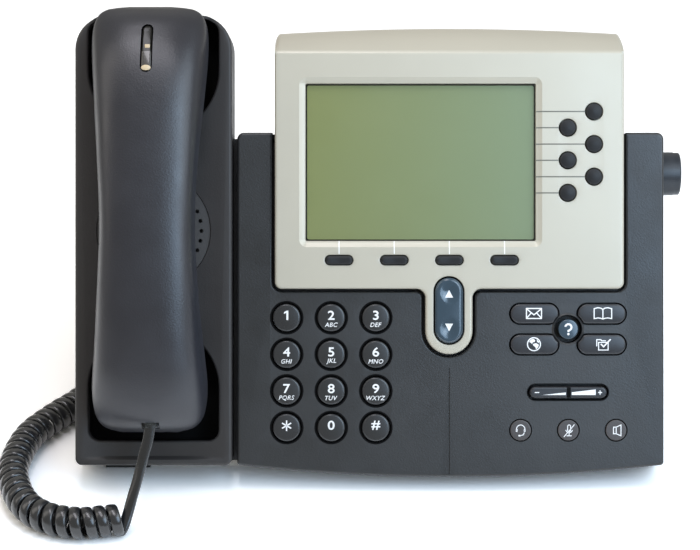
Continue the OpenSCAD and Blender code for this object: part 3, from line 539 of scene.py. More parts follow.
TAIL_ROUTE = [(-79, 64, 5), (-83, 56, 5), (-89, 50, 8), (-94, 49, 15), (-97, 52, 25), (-99, 57, 36),
              (-100, 60.3, 43), (-100, 60.5, 48.8)]
ROUTE_STEP = 0.9
STRAND = (4.8, 2.5)
STRAND_SIDES = 16
COIL_D = 14
PITCH = 5.6
TURN_POINTS = 18
UNWIND = 14
OVERLAP = 3
LEAD_TWIST = radians(35)
SPLIT = 26
PLUG_LONG = 11.5
PLUG_BODY = (-3.6, -2.9, 0, 3.6, 2.9, PLUG_LONG)
PLUG_LATCH = (-1.6, 2.9, 1.5, 1.6, 4.2, 10.5)
PLUG_CORE = (-2.5, -1.3, 0.2, 2.5, 1.3, 6.2)
CONTACT_PITCH = 1.27


def lengths(line):
    return np.concatenate([[0], np.cumsum(np.linalg.norm(np.diff(line, axis=0), axis=1))])


def smooth_line(points, step):
    """Smooth curve through points, resampled at even steps."""
    p = np.array(points, float)
    ends = np.vstack([2 * p[0] - p[1], p, 2 * p[-1] - p[-2]])
    t = np.linspace(0, 1, 16, endpoint=False)[:, None]
    parts = [0.5 * (2 * b + (c - a) * t + (2 * a - 5 * b + 4 * c - d) * t**2 + (3 * b - a - 3 * c + d) * t**3)
             for a, b, c, d in zip(ends, ends[1:], ends[2:], ends[3:])]
    line = np.vstack([*parts, p[-1:]])
    at = lengths(line)
    even = np.linspace(0, at[-1], ceil(at[-1] / step) + 1)
    return np.stack([np.interp(even, at, line[:, k]) for k in range(3)], axis=1)


def unit_rows(a):
    return a / np.maximum(np.linalg.norm(a, axis=1, keepdims=True), 1e-9)


def curl():
    """The curled strand: its points, and the coil's own direction and length at each of them."""
    middle = COIL_D / 2
    axis = smooth_line([(x, y, middle) for x, y in COIL_ROUTE], PITCH / TURN_POINTS)
    at = lengths(axis)
    heading = unit_rows(np.gradient(axis, axis=0))
    up = np.array([0, 0, 1])
    side = np.cross(up, heading)
    left = np.clip((at[-1] - at) / UNWIND, 0, 1)
    tight = left * left * (3 - 2 * left)
    sway = 1 + 0.03 * np.sin(at / 23) + 0.02 * np.sin(at / 7.3)
    angle = -pi / 2 + np.cumsum(np.gradient(at) * (0.35 + 0.65 * tight) * sway) * 2 * pi / PITCH
    r = (middle - STRAND[1] / 2) * tight
    strand = axis + r[:, None] * (np.cos(angle)[:, None] * side + np.sin(angle)[:, None] * up)
    strand[:, 2] -= (middle - STRAND[1] / 2 - r) * 0.35 * (1 - tight)
    return strand, heading, at


def strand_frames(line, wide):
    """Unit wide and thin directions along a line. Rows of wide that are nan follow the last one."""
    t = unit_rows(np.gradient(line, axis=0))
    out = np.array(wide, float)
    for i in range(len(line)):
        a = out[i - 1] if np.isnan(out[i, 0]) else out[i]
        a = a - t[i] * (a @ t[i])
        out[i] = a / np.linalg.norm(a)
    return out, np.cross(t, out)


def strand_tube(line, wide, thin):
    """The strand's flat, round-edged section swept along a line."""
    bm = bmesh.new()
    turns = np.linspace(0, 2 * pi, STRAND_SIDES, endpoint=False)
    across = power(np.cos(turns), 0.7) * STRAND[0] / 2
    deep = power(np.sin(turns), 0.8) * STRAND[1] / 2
    rings = [[bm.verts.new(p + a * w + d * h) for a, d in zip(across, deep)]
             for p, w, h in zip(line, wide, thin)]
    return outwards(tube(bm, rings))


def plug(name, body, base, node):
    """A clear modular plug drawn along +z from its cable end: body, latch, contacts and crimp."""
    shell, contacts = slab(*PLUG_BODY, 0.5), bmesh.new()
    slab(*PLUG_LATCH, 0.3, shell)
    for i in range(4):
        x = -2.2 + i * CONTACT_PITCH
        slab(x, -3.05, 6.5, x + 0.6, -1.8, 11.2, 0.1, contacts)
    return [piece(name, shell, CLEAR, body, [node], base),
            piece(name + "_contacts", contacts, GOLD, body, place=base),
            piece(name + "_core", slab(*PLUG_CORE, 0.4), CORD, body, place=base)]


def metres(points):
    return [tuple(TABLE @ Vector(p)) for p in points]


def make_cords():
    strand, heading, at = curl()
    lead = smooth_line([*LEAD_ROUTE, tuple(strand[0])], ROUTE_STEP)[:-1]
    tail = smooth_line([tuple(strand[-OVERLAP - 1]), *TAIL_ROUTE], ROUTE_STEP)[OVERLAP:]
    line = np.vstack([lead, strand[:-OVERLAP], tail])
    twist = LEAD_TWIST * np.sin(pi * np.linspace(0, 1, len(lead))) ** 2
    lead_wide = np.stack([np.cos(twist), np.zeros(len(lead)), np.sin(twist)], axis=1)
    curled = at[:-OVERLAP] < at[-1] - UNWIND
    coil_wide = np.where(curled[:, None], heading[:-OVERLAP], np.nan)
    tail_wide = np.full((len(tail), 3), np.nan)
    wide, thin = strand_frames(line, np.vstack([lead_wide, coil_wide, tail_wide]))
    cut_at = len(lead) + int(np.searchsorted(at, SPLIT))
    first, rest = slice(cut_at + 1), slice(cut_at, None)
    plug_at, split_at, jack_at = metres([line[0], line[cut_at], line[-1]])
    lead_tube, coil_tube = (strand_tube(line[part], wide[part], thin[part]) for part in (first, rest))
    lead_piece = piece("handset_cord_lead", lead_tube, CORD, None, ["cord_lead"], TABLE,
                       angle=60, flat=False, blend=("base", "handset", split_at, plug_at))
    coil_piece = piece("handset_cord_coil", coil_tube, CORD, "base", ["cord_coil", "cord_tail"],
                       TABLE, angle=60, flat=False)
    low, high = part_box("handset_plug")
    up_face = (FACE.to_3x3() @ Vector((0, 1, 0))).normalized()
    aim = up_face.to_track_quat("Z", "Y").to_matrix().to_4x4() @ Matrix.Scale(MM, 4)
    start = (low + high) / 2 - up_face * PLUG_LONG / 2 * MM
    handset_plug = plug("cord_plug_handset", "handset", move(*start) @ aim, "handset_plug")
    low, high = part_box("base_plug")
    foot = move((low.x + high.x) / 2, (low.y + high.y) / 2, low.z)
    base_plug = plug("cord_plug_base", "base", foot @ Matrix.Scale(MM, 4), "base_plug")


make_cords()

# ---- handset: knots are (v, value) along its length ----

COLUMN_MID = -95.1
HANDSET_MID = COLUMN_MID - 0.7
EAR_END = 200.6
MOUTH_END = 15.2
HALF_WIDTH = [(15.2, 12), (16.7, 18), (20, 22.2), (27, 24.5), (36, 25.1), (50, 24), (72, 22.1), (95, 20.8),
              (108, 20.6), (122, 21), (143, 22.5), (160, 24), (179, 25.3), (190, 25), (196.6, 22.7),
              (199.3, 19), (200.2, 14), (200.6, 9)]
CREST = [(15.2, 11), (16.7, 18), (19, 23.5), (23, 28), (31, 31.5), (45, 35), (70, 38), (100, 39), (125, 38),
         (150, 36), (168, 33.3), (180, 29.3), (189.5, 23.5), (195.3, 18.5), (199.1, 12.5), (200.6, 8)]
SEAM = [(15.2, 11), (30, 12), (50, 16), (75, 24), (100, 26), (125, 25.5), (145, 21), (165, 14), (185, 10),
        (200.6, 8)]
SEAM_GAP = 0.12
UNDER = [(15.2, 10), (18, 10), (40, 12), (66, 18), (100, 18.5), (135, 18), (160, 14), (190, 6), (200.6, 7)]
UNDER_POWER = 0.72
EAR_LIP = (190.2, 194.6)
MOUTH_LIP = (24.6, 15.6)
LIP_W = 3.2
PLUG_BORE = (-3.8, 18.9, 3.8, 25.1)
BORE_FROM = (COLUMN_MID + 0.5, 33)
EAR_CUP_V = 176
MOUTH_CUP_V = 33
CUP_FLOOR = -12
CUP_FLAT = 22.5
CUP_REACH = 27
LAMP_V = (170.2, 191.3)
LAMP_AT = (HANDSET_MID, sum(LAMP_V) / 2)
LAMP_SIZE = (4.8, LAMP_V[1] - LAMP_V[0])
LAMP_SLICES = 14
# Where along the handset the painted glint on the lamp lens lies.
LAMP_GLINT_V = 181.5
BULB_V = LAMP_V[0] + 1.7


def along(knots, x):
    """Smooth curve through (position, value) knots."""
    c = min(max(x, knots[0][0]), knots[-1][0])
    i = max(k for k in range(len(knots) - 1) if knots[k][0] <= c)

    def slope(k):
        a, b = knots[max(0, k - 1)], knots[min(len(knots) - 1, k + 1)]
        return (b[1] - a[1]) / (b[0] - a[0])

    h = knots[i + 1][0] - knots[i][0]
    s = (c - knots[i][0]) / h
    return ((2 * s**3 - 3 * s**2 + 1) * knots[i][1] + (s**3 - 2 * s * s + s) * h * slope(i)
            + (3 * s * s - 2 * s**3) * knots[i + 1][1] + (s**3 - s * s) * h * slope(i + 1))


def under(v, x):
    """Underside of the handset: the handle, sunk into the two cups, lifted at both tips."""
    ear = hypot(x, max(0, EAR_CUP_V - v))
    mouth = hypot(x, max(0, v - MOUTH_CUP_V))
    cup = 1 - ease((min(ear, mouth) - CUP_FLAT) / (CUP_REACH - CUP_FLAT))
    low = mix(along(UNDER, v), CUP_FLOOR, cup)
    low = mix(low, LIP_W, ease((v - EAR_LIP[0]) / (EAR_LIP[1] - EAR_LIP[0])))
    return mix(low, LIP_W, ease((MOUTH_LIP[0] - v) / (MOUTH_LIP[0] - MOUTH_LIP[1])))


def stations(n):
    """Places along the handset, closer together towards its ends."""
    return [mix(MOUTH_END, EAR_END, (1 - cos(pi * i / n)) / 2) for i in range(n + 1)]


def cover_row(v, n):
    """Half-ring of the cover's section: upright sides, soft shoulders and a nearly flat crown."""
    seam, half, crest = along(SEAM, v), along(HALF_WIDTH, v), along(CREST, v)
    tip = min(v - MOUTH_END, EAR_END - v)
    square = mix(2.3, 5.2, ease((tip - 1) / 30))
    tall = max(0, crest - seam)
    lean = 0.1 * ease(tip / 25)
    bulge = min(2.6, tall * 0.16)
    row = []
    for i in range(n + 1):
        t = pi * i / n
        c, s = power(cos(t), 2 / square), abs(sin(t)) ** (2 / square)
        row.append((HANDSET_MID + half * c * (1 - lean * s), v, seam + (tall - bulge * c * c) * s))
    return row


def shell_row(v, n):
    """Half-ring of the underside's section, drawn together at both tips."""
    seam, half = along(SEAM, v), along(HALF_WIDTH, v)
    d = min(v - MOUTH_END, EAR_END - v) / 2
    tip = 1 if d >= 1 else sqrt(max(0, 1 - (1 - d) ** 2))
    row = []
    for i in range(n + 1):
        t = pi * i / n
        x = half * power(cos(t), UNDER_POWER)
        drop = max(0, seam - under(v, x)) * abs(sin(t)) ** UNDER_POWER * tip
        row.append((HANDSET_MID + x, v, seam - SEAM_GAP - drop))
    return row


def loft(rows):
    """A closed solid through open rows whose two ends are joined straight across."""
    bm = bmesh.new()
    tube(bm, [[bm.verts.new(p) for p in row] for row in rows])
    bmesh.ops.remove_doubles(bm, verts=bm.verts, dist=1e-4)
    bmesh.ops.dissolve_degenerate(bm, dist=1e-4, edges=bm.edges)
    return outwards(bm)


def cut(obj, tool, place=FACE):
    """Cuts the solid drawn in tool out of a piece."""
    mesh = to_mesh("tool", tool)
    mesh.transform(place)
    blade = add_object("tool", mesh)
    step = obj.modifiers.new("cut", "BOOLEAN")
    step.operation = "DIFFERENCE"
    step.solver = "EXACT"
    step.object = blade
    bpy.context.view_layer.update()
    shaped = bpy.data.meshes.new_from_object(obj.evaluated_get(bpy.context.evaluated_depsgraph_get()))
    obj.modifiers.remove(step)
    obj.data = shaped
    bpy.data.objects.remove(blade)


def make_handset_skins():
    rows = stations(120)
    skin_top, skin_under = loft([cover_row(v, 72) for v in rows]), loft([shell_row(v, 56) for v in rows])
    cover = piece("handset_top", skin_top, HANDSET, "handset", ["handset_cover"],
                  angle=50, flat=False)
    cut(cover, plate(pill_loop(LAMP_AT, LAMP_SIZE, 0.2), [(0, 13), (0, 50)]))
    bore = move(*BORE_FROM) @ Matrix.Rotation(pi / 2, 4, "X")
    cut(cover, plate(box_loop(*PLUG_BORE, 0.4, 0.4), [(0, 0), (0, 20)]), FACE @ bore)
    piece("handset_underside", skin_under, HANDSET, "handset", ["handset_shell"],
          angle=50, flat=False)


def make_lamp():
    lens = plate(pill_loop(LAMP_AT, LAMP_SIZE, -0.25), [(0, -3.2), (0, -0.7), (0.25, -0.4), (0.7, -0.25)])
    slice_at(lens, [mix(*LAMP_V, k / LAMP_SLICES) for k in range(1, LAMP_SLICES)], 1)
    lift(lens, lambda x, y: along(CREST, y))
    # Faces below the glint take the lighter brown lamp_tube finish, and the rest of the lens stays near
    # black.
    for face in lens.faces:
        face.material_index = int(face.calc_center_median().y < LAMP_GLINT_V - 2)
    piece("lamp_window", lens, [LENS, LENS_LOW], "handset", ["message_lamp"])
    # The pale dome at the slot's lower end is the lamp's diffuser. The small pale slab across the lens's
    # middle is a painted glint, standing in for a highlight on the lens.
    bulb = lathe([(2.05, -0.6), (2.05, -0.2), (1.7, 0.05), (0, 0.25)], n=32)
    bulb.transform(move(HANDSET_MID, BULB_V, along(CREST, BULB_V) - 0.1) @ Matrix.Diagonal((1, 0.62, 1, 1)))
    top = along(CREST, LAMP_GLINT_V)
    merge(bulb, slab(HANDSET_MID - 0.8, LAMP_GLINT_V - 0.9, top - 1.5, HANDSET_MID + 1.5, LAMP_GLINT_V + 0.8,
                     top + 0.3, 0.4))
    piece("lamp_diffuser_and_glint", bulb, DIFFUSER_AND_GLINT, "handset")
    # A near-black floor at the bottom of the lamp's slot: painted shade in the slot.
    hollow = plate(pill_loop(LAMP_AT, LAMP_SIZE, 0.1), [(0, 12.5), (0, 13)])
    piece("lamp_slot_shade", hollow, PAINTED_SHADE, "handset")


def make_sound_holes():
    ear = (HANDSET_MID, EAR_CUP_V)
    loops = [circle(at, 0.8, 12) for at in (ear, *circle(ear, 5, 6))]
    loops += [pill_loop((HANDSET_MID, MOUTH_CUP_V + k * 3), (9, 1.2)) for k in (-1, 0, 1)]
    # The sound holes are not cut: near-black patches on the cup floors are painted shade where the holes
    # would be dark.
    holes = bmesh.new()
    for loop in loops:
        patch(holes, loop, CUP_FLOOR - 0.06, CUP_FLOOR + 0.2)
    piece("handset_sound_hole_shade", holes, PAINTED_SHADE, "handset")


make_handset_skins()
make_lamp()
make_sound_holes()

# ---- handset cradle ----

COLUMN = (-129.5, 0, -60.7, 197.8)
COLUMN_TOP_R = 15
RIM = 2.5
PARTING = 14
CORNER = 3
POCKET_R = 28.6
POCKET_FLOOR = -16
EAR_V = 174
MOUTH_V = 33.5
EAR_TOP = 196.4
MOUTH_BOTTOM = 10.6
TROUGH_HALF = 31
TROUGH_R = (TROUGH_HALF**2 + RIM**2) / 2 / RIM
TROUGH_SLICES = 14
GRILLE_V = 103
GRILLE_R = 25


def trough_drop(u, v):
    """How far the cradle's hollow lies below its rim."""
    d = abs(u - COLUMN_MID)
    if d >= TROUGH_HALF:
        return 0
    depth = RIM - TROUGH_R + sqrt(TROUGH_R**2 - d * d)
    return depth * ease((v - 2.4) / 1.6) * ease((COLUMN[3] - 1.6 - v) / 1.2)


def pocket_loop(v, end, r, side):
    """A cup's pocket: a half circle at v and a box up to end. Side is 1 for the ear, -1 for the mouth."""
    a, b = COLUMN_MID + side * POCKET_R, COLUMN_MID - side * POCKET_R
    half = arc((COLUMN_MID, v), POCKET_R, 90 + side * 90, 270 + side * 90, 40)
    return [*half, *soft_loop([(a, end, r), (b, end, r), (b, v + side, 0), (a, v + side, 0)])[:-2]]


def make_cradle():
    pocket = [(-1.5, POCKET_FLOOR), (-0.4, POCKET_FLOOR + 0.4), (0, POCKET_FLOOR + 1.5), (0, -4),
              *rounded(1, RIM)]
    grille = circle((COLUMN_MID, GRILLE_V), GRILLE_R + 0.1, 72)
    bm = bmesh.new()
    walls(bm, [(box_loop(*COLUMN, CORNER, COLUMN_TOP_R), [(0, -PARTING), *rounded(1.3, RIM)], 1),
               (pocket_loop(EAR_V, EAR_TOP, 7, 1), pocket, -1),
               (pocket_loop(MOUTH_V, MOUTH_BOTTOM, 5, -1), pocket, -1),
               (grille, [(0, -2.4), *rounded(0.3, RIM, 2)], -1)], floors=True)
    steps = range(-TROUGH_SLICES, TROUGH_SLICES + 1)
    slice_at(bm, [COLUMN_MID + k * TROUGH_HALF / TROUGH_SLICES for k in steps], 0)
    slice_at(bm, [2.4, 2.9, 3.4, 4, *(COLUMN[3] - d for d in (2.8, 2.4, 2, 1.6))], 1)
    for v in bm.verts:
        if v.co.z > -3:
            v.co.z -= trough_drop(v.co.x, v.co.y)
    # Faces deeper than 4 mm and within the pockets' width take the second, near-black material: painted
    # shade, mostly on the pocket floors.
    for face in outwards(bm).faces:
        middle = face.calc_center_median()
        face.material_index = int(middle.z < -4 and abs(middle.x - COLUMN_MID) < POCKET_R + 0.5)
    piece("cradle_shell", bm, [CRADLE, PAINTED_SHADE], "base", ["handset_cradle"], angle=28)


make_cradle()

# ---- front housing ----

MAIN = (-58.5, 129.3, 146.3)
BOW = 5.3
BEZEL = (-41.8, 77.5, 111.4, 181.7)
BEZEL_TOP = 3.5
LOBE_U = 34.6
LOBE_R = 10.35
LOBE_B = 48.8
LOBE_FILLET = 4
SHADOW_GAP = 1.0
WELL_FLOOR = -9
DIAL_AT = [(-36.65 + 19.6 * i, 64.8 - 16.1 * j) for j in range(4) for i in range(3)]
DIAL_R = 6.05
DIAL_HOLE = 6.8
LINE_AT = [(98.2, 155.3), (86.7, 148.2), (98.2, 141), (86.7, 133.9), (98.2, 126.7), (86.7, 119.6)]
LINE_R = 3.55
KEY_GAP = 0.35
SOFT_AT = [(-13.6 + 24.2 * i, 90.1) for i in range(4)]
SOFT_SIZE = (11.9, 3.9)
HELP_AT = (87.1, 59.8)
HELP_R = 4.35
HELP_WELL = 6
BITE_R = 7.3
MENU_SIZE = (20.9, 8.4)
MENU_GAP = 0.65
MENU_AT = [(HELP_AT[0] + x * 14.8, HELP_AT[1] + y * 6.75) for y in (1, -1) for x in (-1, 1)]
SCROLL_AT = (34.6, 68)
SCROLL_SIZE = (12.2, 28.8)
VOLUME_AT = (87.1, 32)
VOLUME_SIZE = (34.6, 6)
AUDIO_AT = [(66.25 + 21 * i, 15.3) for i in range(3)]
AUDIO_R = 4.55
GROOVE_U = 34.8
FACE_KEY_TOP = 1.6


def bezel_corners(g):
    """Corners of the bezel's lower contour, grown by g, from its left side round the lobe to its right."""
    l, b, r = BEZEL[0] - g, BEZEL[1] - g, BEZEL[2] + g
    lobe = LOBE_R + g
    return [(l, b, 3 + g), (LOBE_U - lobe, b, LOBE_FILLET - g), (LOBE_U - lobe, LOBE_B - g, lobe - 0.01),
            (LOBE_U + lobe, LOBE_B - g, lobe - 0.01), (LOBE_U + lobe, b, LOBE_FILLET - g), (r, b, 3 + g)]


def bitten(at, grow, bite):
    """A menu key's outline with a round bite taken out round the help key."""
    loop = pill_loop(at, MENU_SIZE, grow)
    free = [hypot(x - HELP_AT[0], y - HELP_AT[1]) > bite for x, y in loop]
    first = next(i for i in range(len(loop)) if free[i] and not free[i - 1])
    kept = [p for p, ok in zip(loop[first:] + loop[:first], free[first:] + free[:first]) if ok]
    start, end = (atan2(y - HELP_AT[1], x - HELP_AT[0]) for x, y in (kept[-1], kept[0]))
    bow = arc(HELP_AT, bite, degrees(start), degrees(start + half_turn(end - start)), 10)
    return [*kept, *bow[1:-1]]


def well(edge):
    """Steps of a hole whose upper edge is broken."""
    return [(0, WELL_FLOOR), (0, -edge), (edge, 0)]


def groove(grow, low, high):
    return box_loop(GROOVE_U - grow, low, GROOVE_U + grow, high, 0.2, 0.2)


def make_front_housing():
    left, right, top = MAIN
    middle, half = (left + right) / 2, (right - left) / 2
    bow_r = (half**2 + BOW**2) / 2 / BOW
    bow = [(middle + x, bow_r - BOW - sqrt(bow_r**2 - x * x), 0) for x in np.linspace(-half, half, 41)[1:-1]]
    notch = bezel_corners(SHADOW_GAP)
    corners = [(left, 0, 1.5), *bow, (right, 0, 1.5), (right, top, CORNER), (notch[-1][0], top, 0.6),
               *notch[::-1], (notch[0][0], top, 0.6), (left, top, CORNER)]
    dial_well = [(0, WELL_FLOOR), (0, -0.5), (0.15, -0.15), (0.5, 0)]
    holes = [*((circle(at, DIAL_HOLE), dial_well) for at in DIAL_AT),
             *((circle(at, AUDIO_R + KEY_GAP), well(0.2)) for at in AUDIO_AT),
             (pill_loop(VOLUME_AT, VOLUME_SIZE, 0.5), well(0.4)),
             (circle(HELP_AT, HELP_WELL), well(0.3)),
             *((bitten(at, MENU_GAP, BITE_R - MENU_GAP), well(0.1)) for at in MENU_AT),
             (groove(0.25, -4.4, 42.7), [(0, -0.6), (0, -0.1), (0.12, 0)])]
    bm = plate(soft_loop(corners), [(0, -PARTING), *rounded(1.2, 0)], holes, foot=False)
    merge(bm, plate(box_loop(left + 3, 3, right - 3, top - 4, 1, 1), [(0, WELL_FLOOR - 1), (0, WELL_FLOOR)]))
    merge(bm, plate(groove(1, -4.2, 43.5), [(0, -0.8), (0, -0.6)]))
    merge(bm, collar(HELP_AT, HELP_WELL, [(0, -0.3), (0.1, 0.25), (0.4, 0.42), (0.8, 0.25), (1.2, -0.1)]))
    piece("main_cover", bm, PLASTIC, "base", ["front_housing"])


make_front_housing()

# ---- bezel and display ----

HOOD_START = 172
HOOD_T = 194.4
HOOD_R = 1200
HOOD_CORNER = 7
HOOD_BULGE = 1.7
HOOD_FLARE = (-0.5, 1.6)
HOOD_DEPTHS = (24, 20, 16, 12.5, 9.5, 7, 4.5, 2.2, 0.3)
SCREEN_MID = (22.2, 133.1)
SCREEN = (101, 69)
PANE_TOP = 1.1
SCREEN_BEVEL = [(0, PANE_TOP), (0.12, 2.3), (0.3, 2.45), (0.85, 2.5), (2.5, BEZEL_TOP - 0.15),
                (2.8, BEZEL_TOP)]


def screen_box(grow):
    (u, v), w, h = SCREEN_MID, SCREEN[0] / 2 + grow, SCREEN[1] / 2 + grow
    return u - w, v - h, u + w, v + h


def screen_slab(grow, low, high, edge):
    l, b, r, t = screen_box(grow)
    return slab(l, b, low, r, t, high, edge)


def hood_arch(u):
    """Height of the hood's rear top edge: a gentle arch with round corners."""
    half = (BEZEL[2] - BEZEL[0]) / 2
    d = min(half, abs(u - (BEZEL[0] + BEZEL[2]) / 2))
    corner = sqrt(max(0, HOOD_CORNER**2 - max(0, d - half + HOOD_CORNER) ** 2))
    return min(HOOD_T - d**2 / (2 * HOOD_R), HOOD_T - HOOD_CORNER + corner) + 0.1


def raise_hood(bm):
    """Bulges the bezel's upper end back and up into the hood."""
    for v in bm.verts:
        near = ease((v.co.y - HOOD_START) / (BEZEL[3] - HOOD_START - 1.5))
        back = (BEZEL_TOP - v.co.z) / (HOOD_DEPTHS[0] + BEZEL_TOP)
        rise = (hood_arch(v.co.x) - BEZEL[3]) * (1 - (1 - back) ** HOOD_BULGE)
        v.co.x += near * back * float(np.interp(v.co.x, (BEZEL[0], BEZEL[2]), HOOD_FLARE))
        v.co.y += rise * near


def make_bezel():
    left, _, right, top = BEZEL
    middle, half = (left + right) / 2, (right - left) / 2 - 0.02
    turns = np.linspace(pi / 2, -pi / 2, 81)[1:-1]
    edge = [(right, top, 0.8), *((middle + half * sin(t), top, 0) for t in turns), (left, top, 0.8)]
    key_well = [(0, -0.3), (0, BEZEL_TOP - 0.4), (0.12, BEZEL_TOP - 0.12), (0.4, BEZEL_TOP)]
    holes = [(box_loop(*screen_box(0), 0.6, 0.6), [(0, -0.3), *SCREEN_BEVEL]),
             *((circle(at, LINE_R + KEY_GAP, 36), key_well) for at in LINE_AT),
             *((pill_loop(at, SOFT_SIZE, 0.3), key_well) for at in SOFT_AT),
             (pill_loop(SCROLL_AT, SCROLL_SIZE, 0.65), key_well)]
    bm = plate(soft_loop([*bezel_corners(0), *edge]), [(0, -0.3), (0, 0), *rounded(1.1, BEZEL_TOP, 5)], holes)
    slice_at(bm, np.linspace(left + 2, right - 2, 40), 0)
    raise_hood(bm)
    foot = MAIN[2] + 0.3
    skirt = plate(soft_loop([(left, foot, 0.2), (right, foot, 0.2), *edge]), [(0, -d) for d in HOOD_DEPTHS])
    raise_hood(skirt)
    merge(bm, skirt)
    piece("silver_bezel", bm, SILVER, "base", ["display_bezel"], angle=25)


def make_display():
    panel = screen_slab(1.5, -3, -0.18, 0.05)
    piece("lcd_panel", panel, LCD, "base", ["lcd_module"])
    # A near-black frame over the edge of the LCD under the pane: painted shade along the screen's edge.
    opening = (box_loop(*screen_box(-0.7), 0.8, 0.8), [(0, -0.3), (0.1, -0.08)])
    border = plate(box_loop(*screen_box(1), 0.5, 0.5), [(0, -0.3), (0, -0.08)], [opening])
    piece("lcd_edge_shade", border, PAINTED_SHADE, "base")
    pane = screen_slab(0.8, 0, PANE_TOP - 0.25, 0.15)
    piece("display_pane", pane, PANE, "base", ["display_window"])


def make_leaders():
    """Thin printed lines from the screen to the keys, laid onto the bezel that slopes down to the pane."""
    _, low, right, _ = screen_box(0)
    bends = [d for d, _ in SCREEN_BEVEL[1:]]
    grey, white = bmesh.new(), bmesh.new()
    for at in LINE_AT:
        ribbon(grey, [*((right + d, at[1]) for d in bends), (at[0] - LINE_R - 0.5, at[1])], 0.55, -0.02, 0.04)
    for at in SOFT_AT:
        ribbon(white, [*((at[0], low - d) for d in bends), (at[0], at[1] + 2.7)], 0.42, -0.02, 0.04)
    lift(grey, lambda x, y: float(np.interp(x - right, *zip(*SCREEN_BEVEL))))
    lift(white, lambda x, y: float(np.interp(low - y, *zip(*SCREEN_BEVEL))))
    piece("line_leaders", grey, LEADER, "base", flat=False)
    piece("soft_key_leaders", white, PRINT, "base", flat=False)


make_bezel()
make_display()
make_leaders()

# ---- keys ----

KEY_FOOT = -6.5
KEY_SLICE = 0.8
PRINT_LIFT = 0.01
MENU_TOP = FACE_KEY_TOP + 0.2
SCROLL_TOP = 4.8
HELP_TOP = 2.1
VOLUME_TOP = 1.8
AUDIO_TOP = 0.65
SOFT_TOP = 4.8
LINE_TOP = 5.1
DIAL_TOP = FACE_KEY_TOP + 0.15
DIAL_CROWN = 0.28
# Steps of the near-black ring round each dial key: painted shade over the gap and a little onto the face
# round it.
DIAL_SHADE_RING = [(-0.25, -1.5), (-0.25, -0.2), (0.05, 0.02), (0.6, 0.02), (0.7, -0.1)]
DIGITS = "123456789*0#"
DIAL_NAMES = {"*": "star", "#": "hash"}
GROUPS = dict(zip("23456789", ("ABC", "DEF", "GHI", "JKL", "MNO", "PQRS", "TUV", "WXYZ")))
ONE = [(-0.1, -2.05), (0.75, -2.05), (0.75, 2.05), (0.1, 2.05), (-1.15, 1.35), (-1.15, 0.6), (-0.1, 1.1)]
STAR = [[(-x, -y), (x, y)] for x, y in arc((0, 0), 2.3, 90, 210, 2)]
ARROW = [(-1.75, -1.6), (1.75, -1.6), (0, 1.75)]
ENVELOPE = [[(-3.3, -2.2), (3.3, -2.2), (3.3, 2.2), (-3.3, 2.2), None], [(-3.2, 2), (0, -0.6), (3.2, 2)],
            [(-3.2, -2), (-1.1, 0.3)], [(3.2, -2), (1.1, 0.3)]]
PAGE = [(0, -2.5), (-0.9, -2.1), (-2.2, -1.95), (-3.85, -2.25), (-3.85, 2.1), (-2.2, 2.55), (-0.9, 2.35),
        (0, 1.8)]
BOOK = [PAGE, [(-x, y) for x, y in PAGE], [(0, -2.4), (0, 1.8)]]
GLOBE = [[*circle((0, 0), 2.85, 40), None]]
LANDS = [[(-1.5, 2), (-0.3, 2.4), (0.6, 1.7), (0.2, 0.9), (-0.5, 0.9), (-0.8, 0.1), (-1.5, 0.7), (-2.1, 1)],
         [(-0.5, 0.1), (0.9, 0.5), (2.2, -0.3), (1.7, -1.5), (0.9, -2.3), (0.6, -1.2), (-0.3, -0.6)],
         [(1.2, 2.2), (2.1, 1.3), (2.4, 0.5), (1.4, 1)]]
TICKED_BOX = [[(-1.9, -2.55), (2.3, -2.55), (2.3, 0.8), (-1.9, 0.8), None],
              [(-2.7, -0.9), (-2.7, 2), (-0.9, 2), (-0.5, 1.5), (1.3, 1.5)]]
TICK = [[(-0.9, 0.1), (0.3, -1.1), (3.4, 2.2)]]
MICROPHONE = [[*pill_loop((0.3, 0.9), (1.3, 3))[::3], None], arc((0.3, 0.4), 1.45, 190, 350, 12),
              [(0.3, -1), (0.3, -2.4)], [(-0.8, -2.4), (1.4, -2.4)], [(-2, -2.9), (2.7, 2.6)]]
LOUDSPEAKER = [[(-1.2, -1.5), (0, -1.5), (2.1, -2.4), (2.1, 2.4), (0, 1.4), (-1.2, 1.4), None],
               [(0, -1.5), (0, 1.4)]]
HEADSET = [arc((0, 0.5), 1.85, -30, 210, 24), [(1.6, -1), (1.1, -2), (-0.3, -2.35)]]
EAR_PADS = [pill_loop((-1.75, 0), (0.75, 1.5)), pill_loop((1.75, 0), (0.75, 1.5)),
            pill_loop((-0.5, -2.35), (1.1, 0.7))]
QUESTION = [[*arc((0, 0.85), 1.35, 170, -55, 16), (0, -0.75), (0, -1.2)]]
VOLUME_LOW = 30.9
WEDGES = [[(75.6, VOLUME_LOW), (86, VOLUME_LOW), (86, VOLUME_LOW + 1.1)],
          [(88.6, VOLUME_LOW), (99.1, VOLUME_LOW), (99.1, VOLUME_LOW + 2.45), (88.6, VOLUME_LOW + 1.2)]]
PLUS_MINUS = [[(-14.8, 0), (-12.8, 0)], [(13, 0), (14.8, 0)], [(13.9, -0.9), (13.9, 0.9)]]


def strokes(lines, at, width, top=0, bm=None):
    """Strokes of a symbol: open lines, or closed ones that end with None."""
    bm = bm or bmesh.new()
    for line in lines:
        closed = line[-1] is None
        points = [(at[0] + x, at[1] + y) for x, y in (line[:-1] if closed else line)]
        ribbon(bm, points, width, top, top + PRINT_STAND, closed)
    return bm


def blots(shapes, at, top=0, bm=None):
    """Filled shapes of a symbol."""
    bm = bm or bmesh.new()
    for shape in shapes:
        patch(bm, [(at[0] + x, at[1] + y) for x, y in shape], top, top + PRINT_STAND)
    return bm


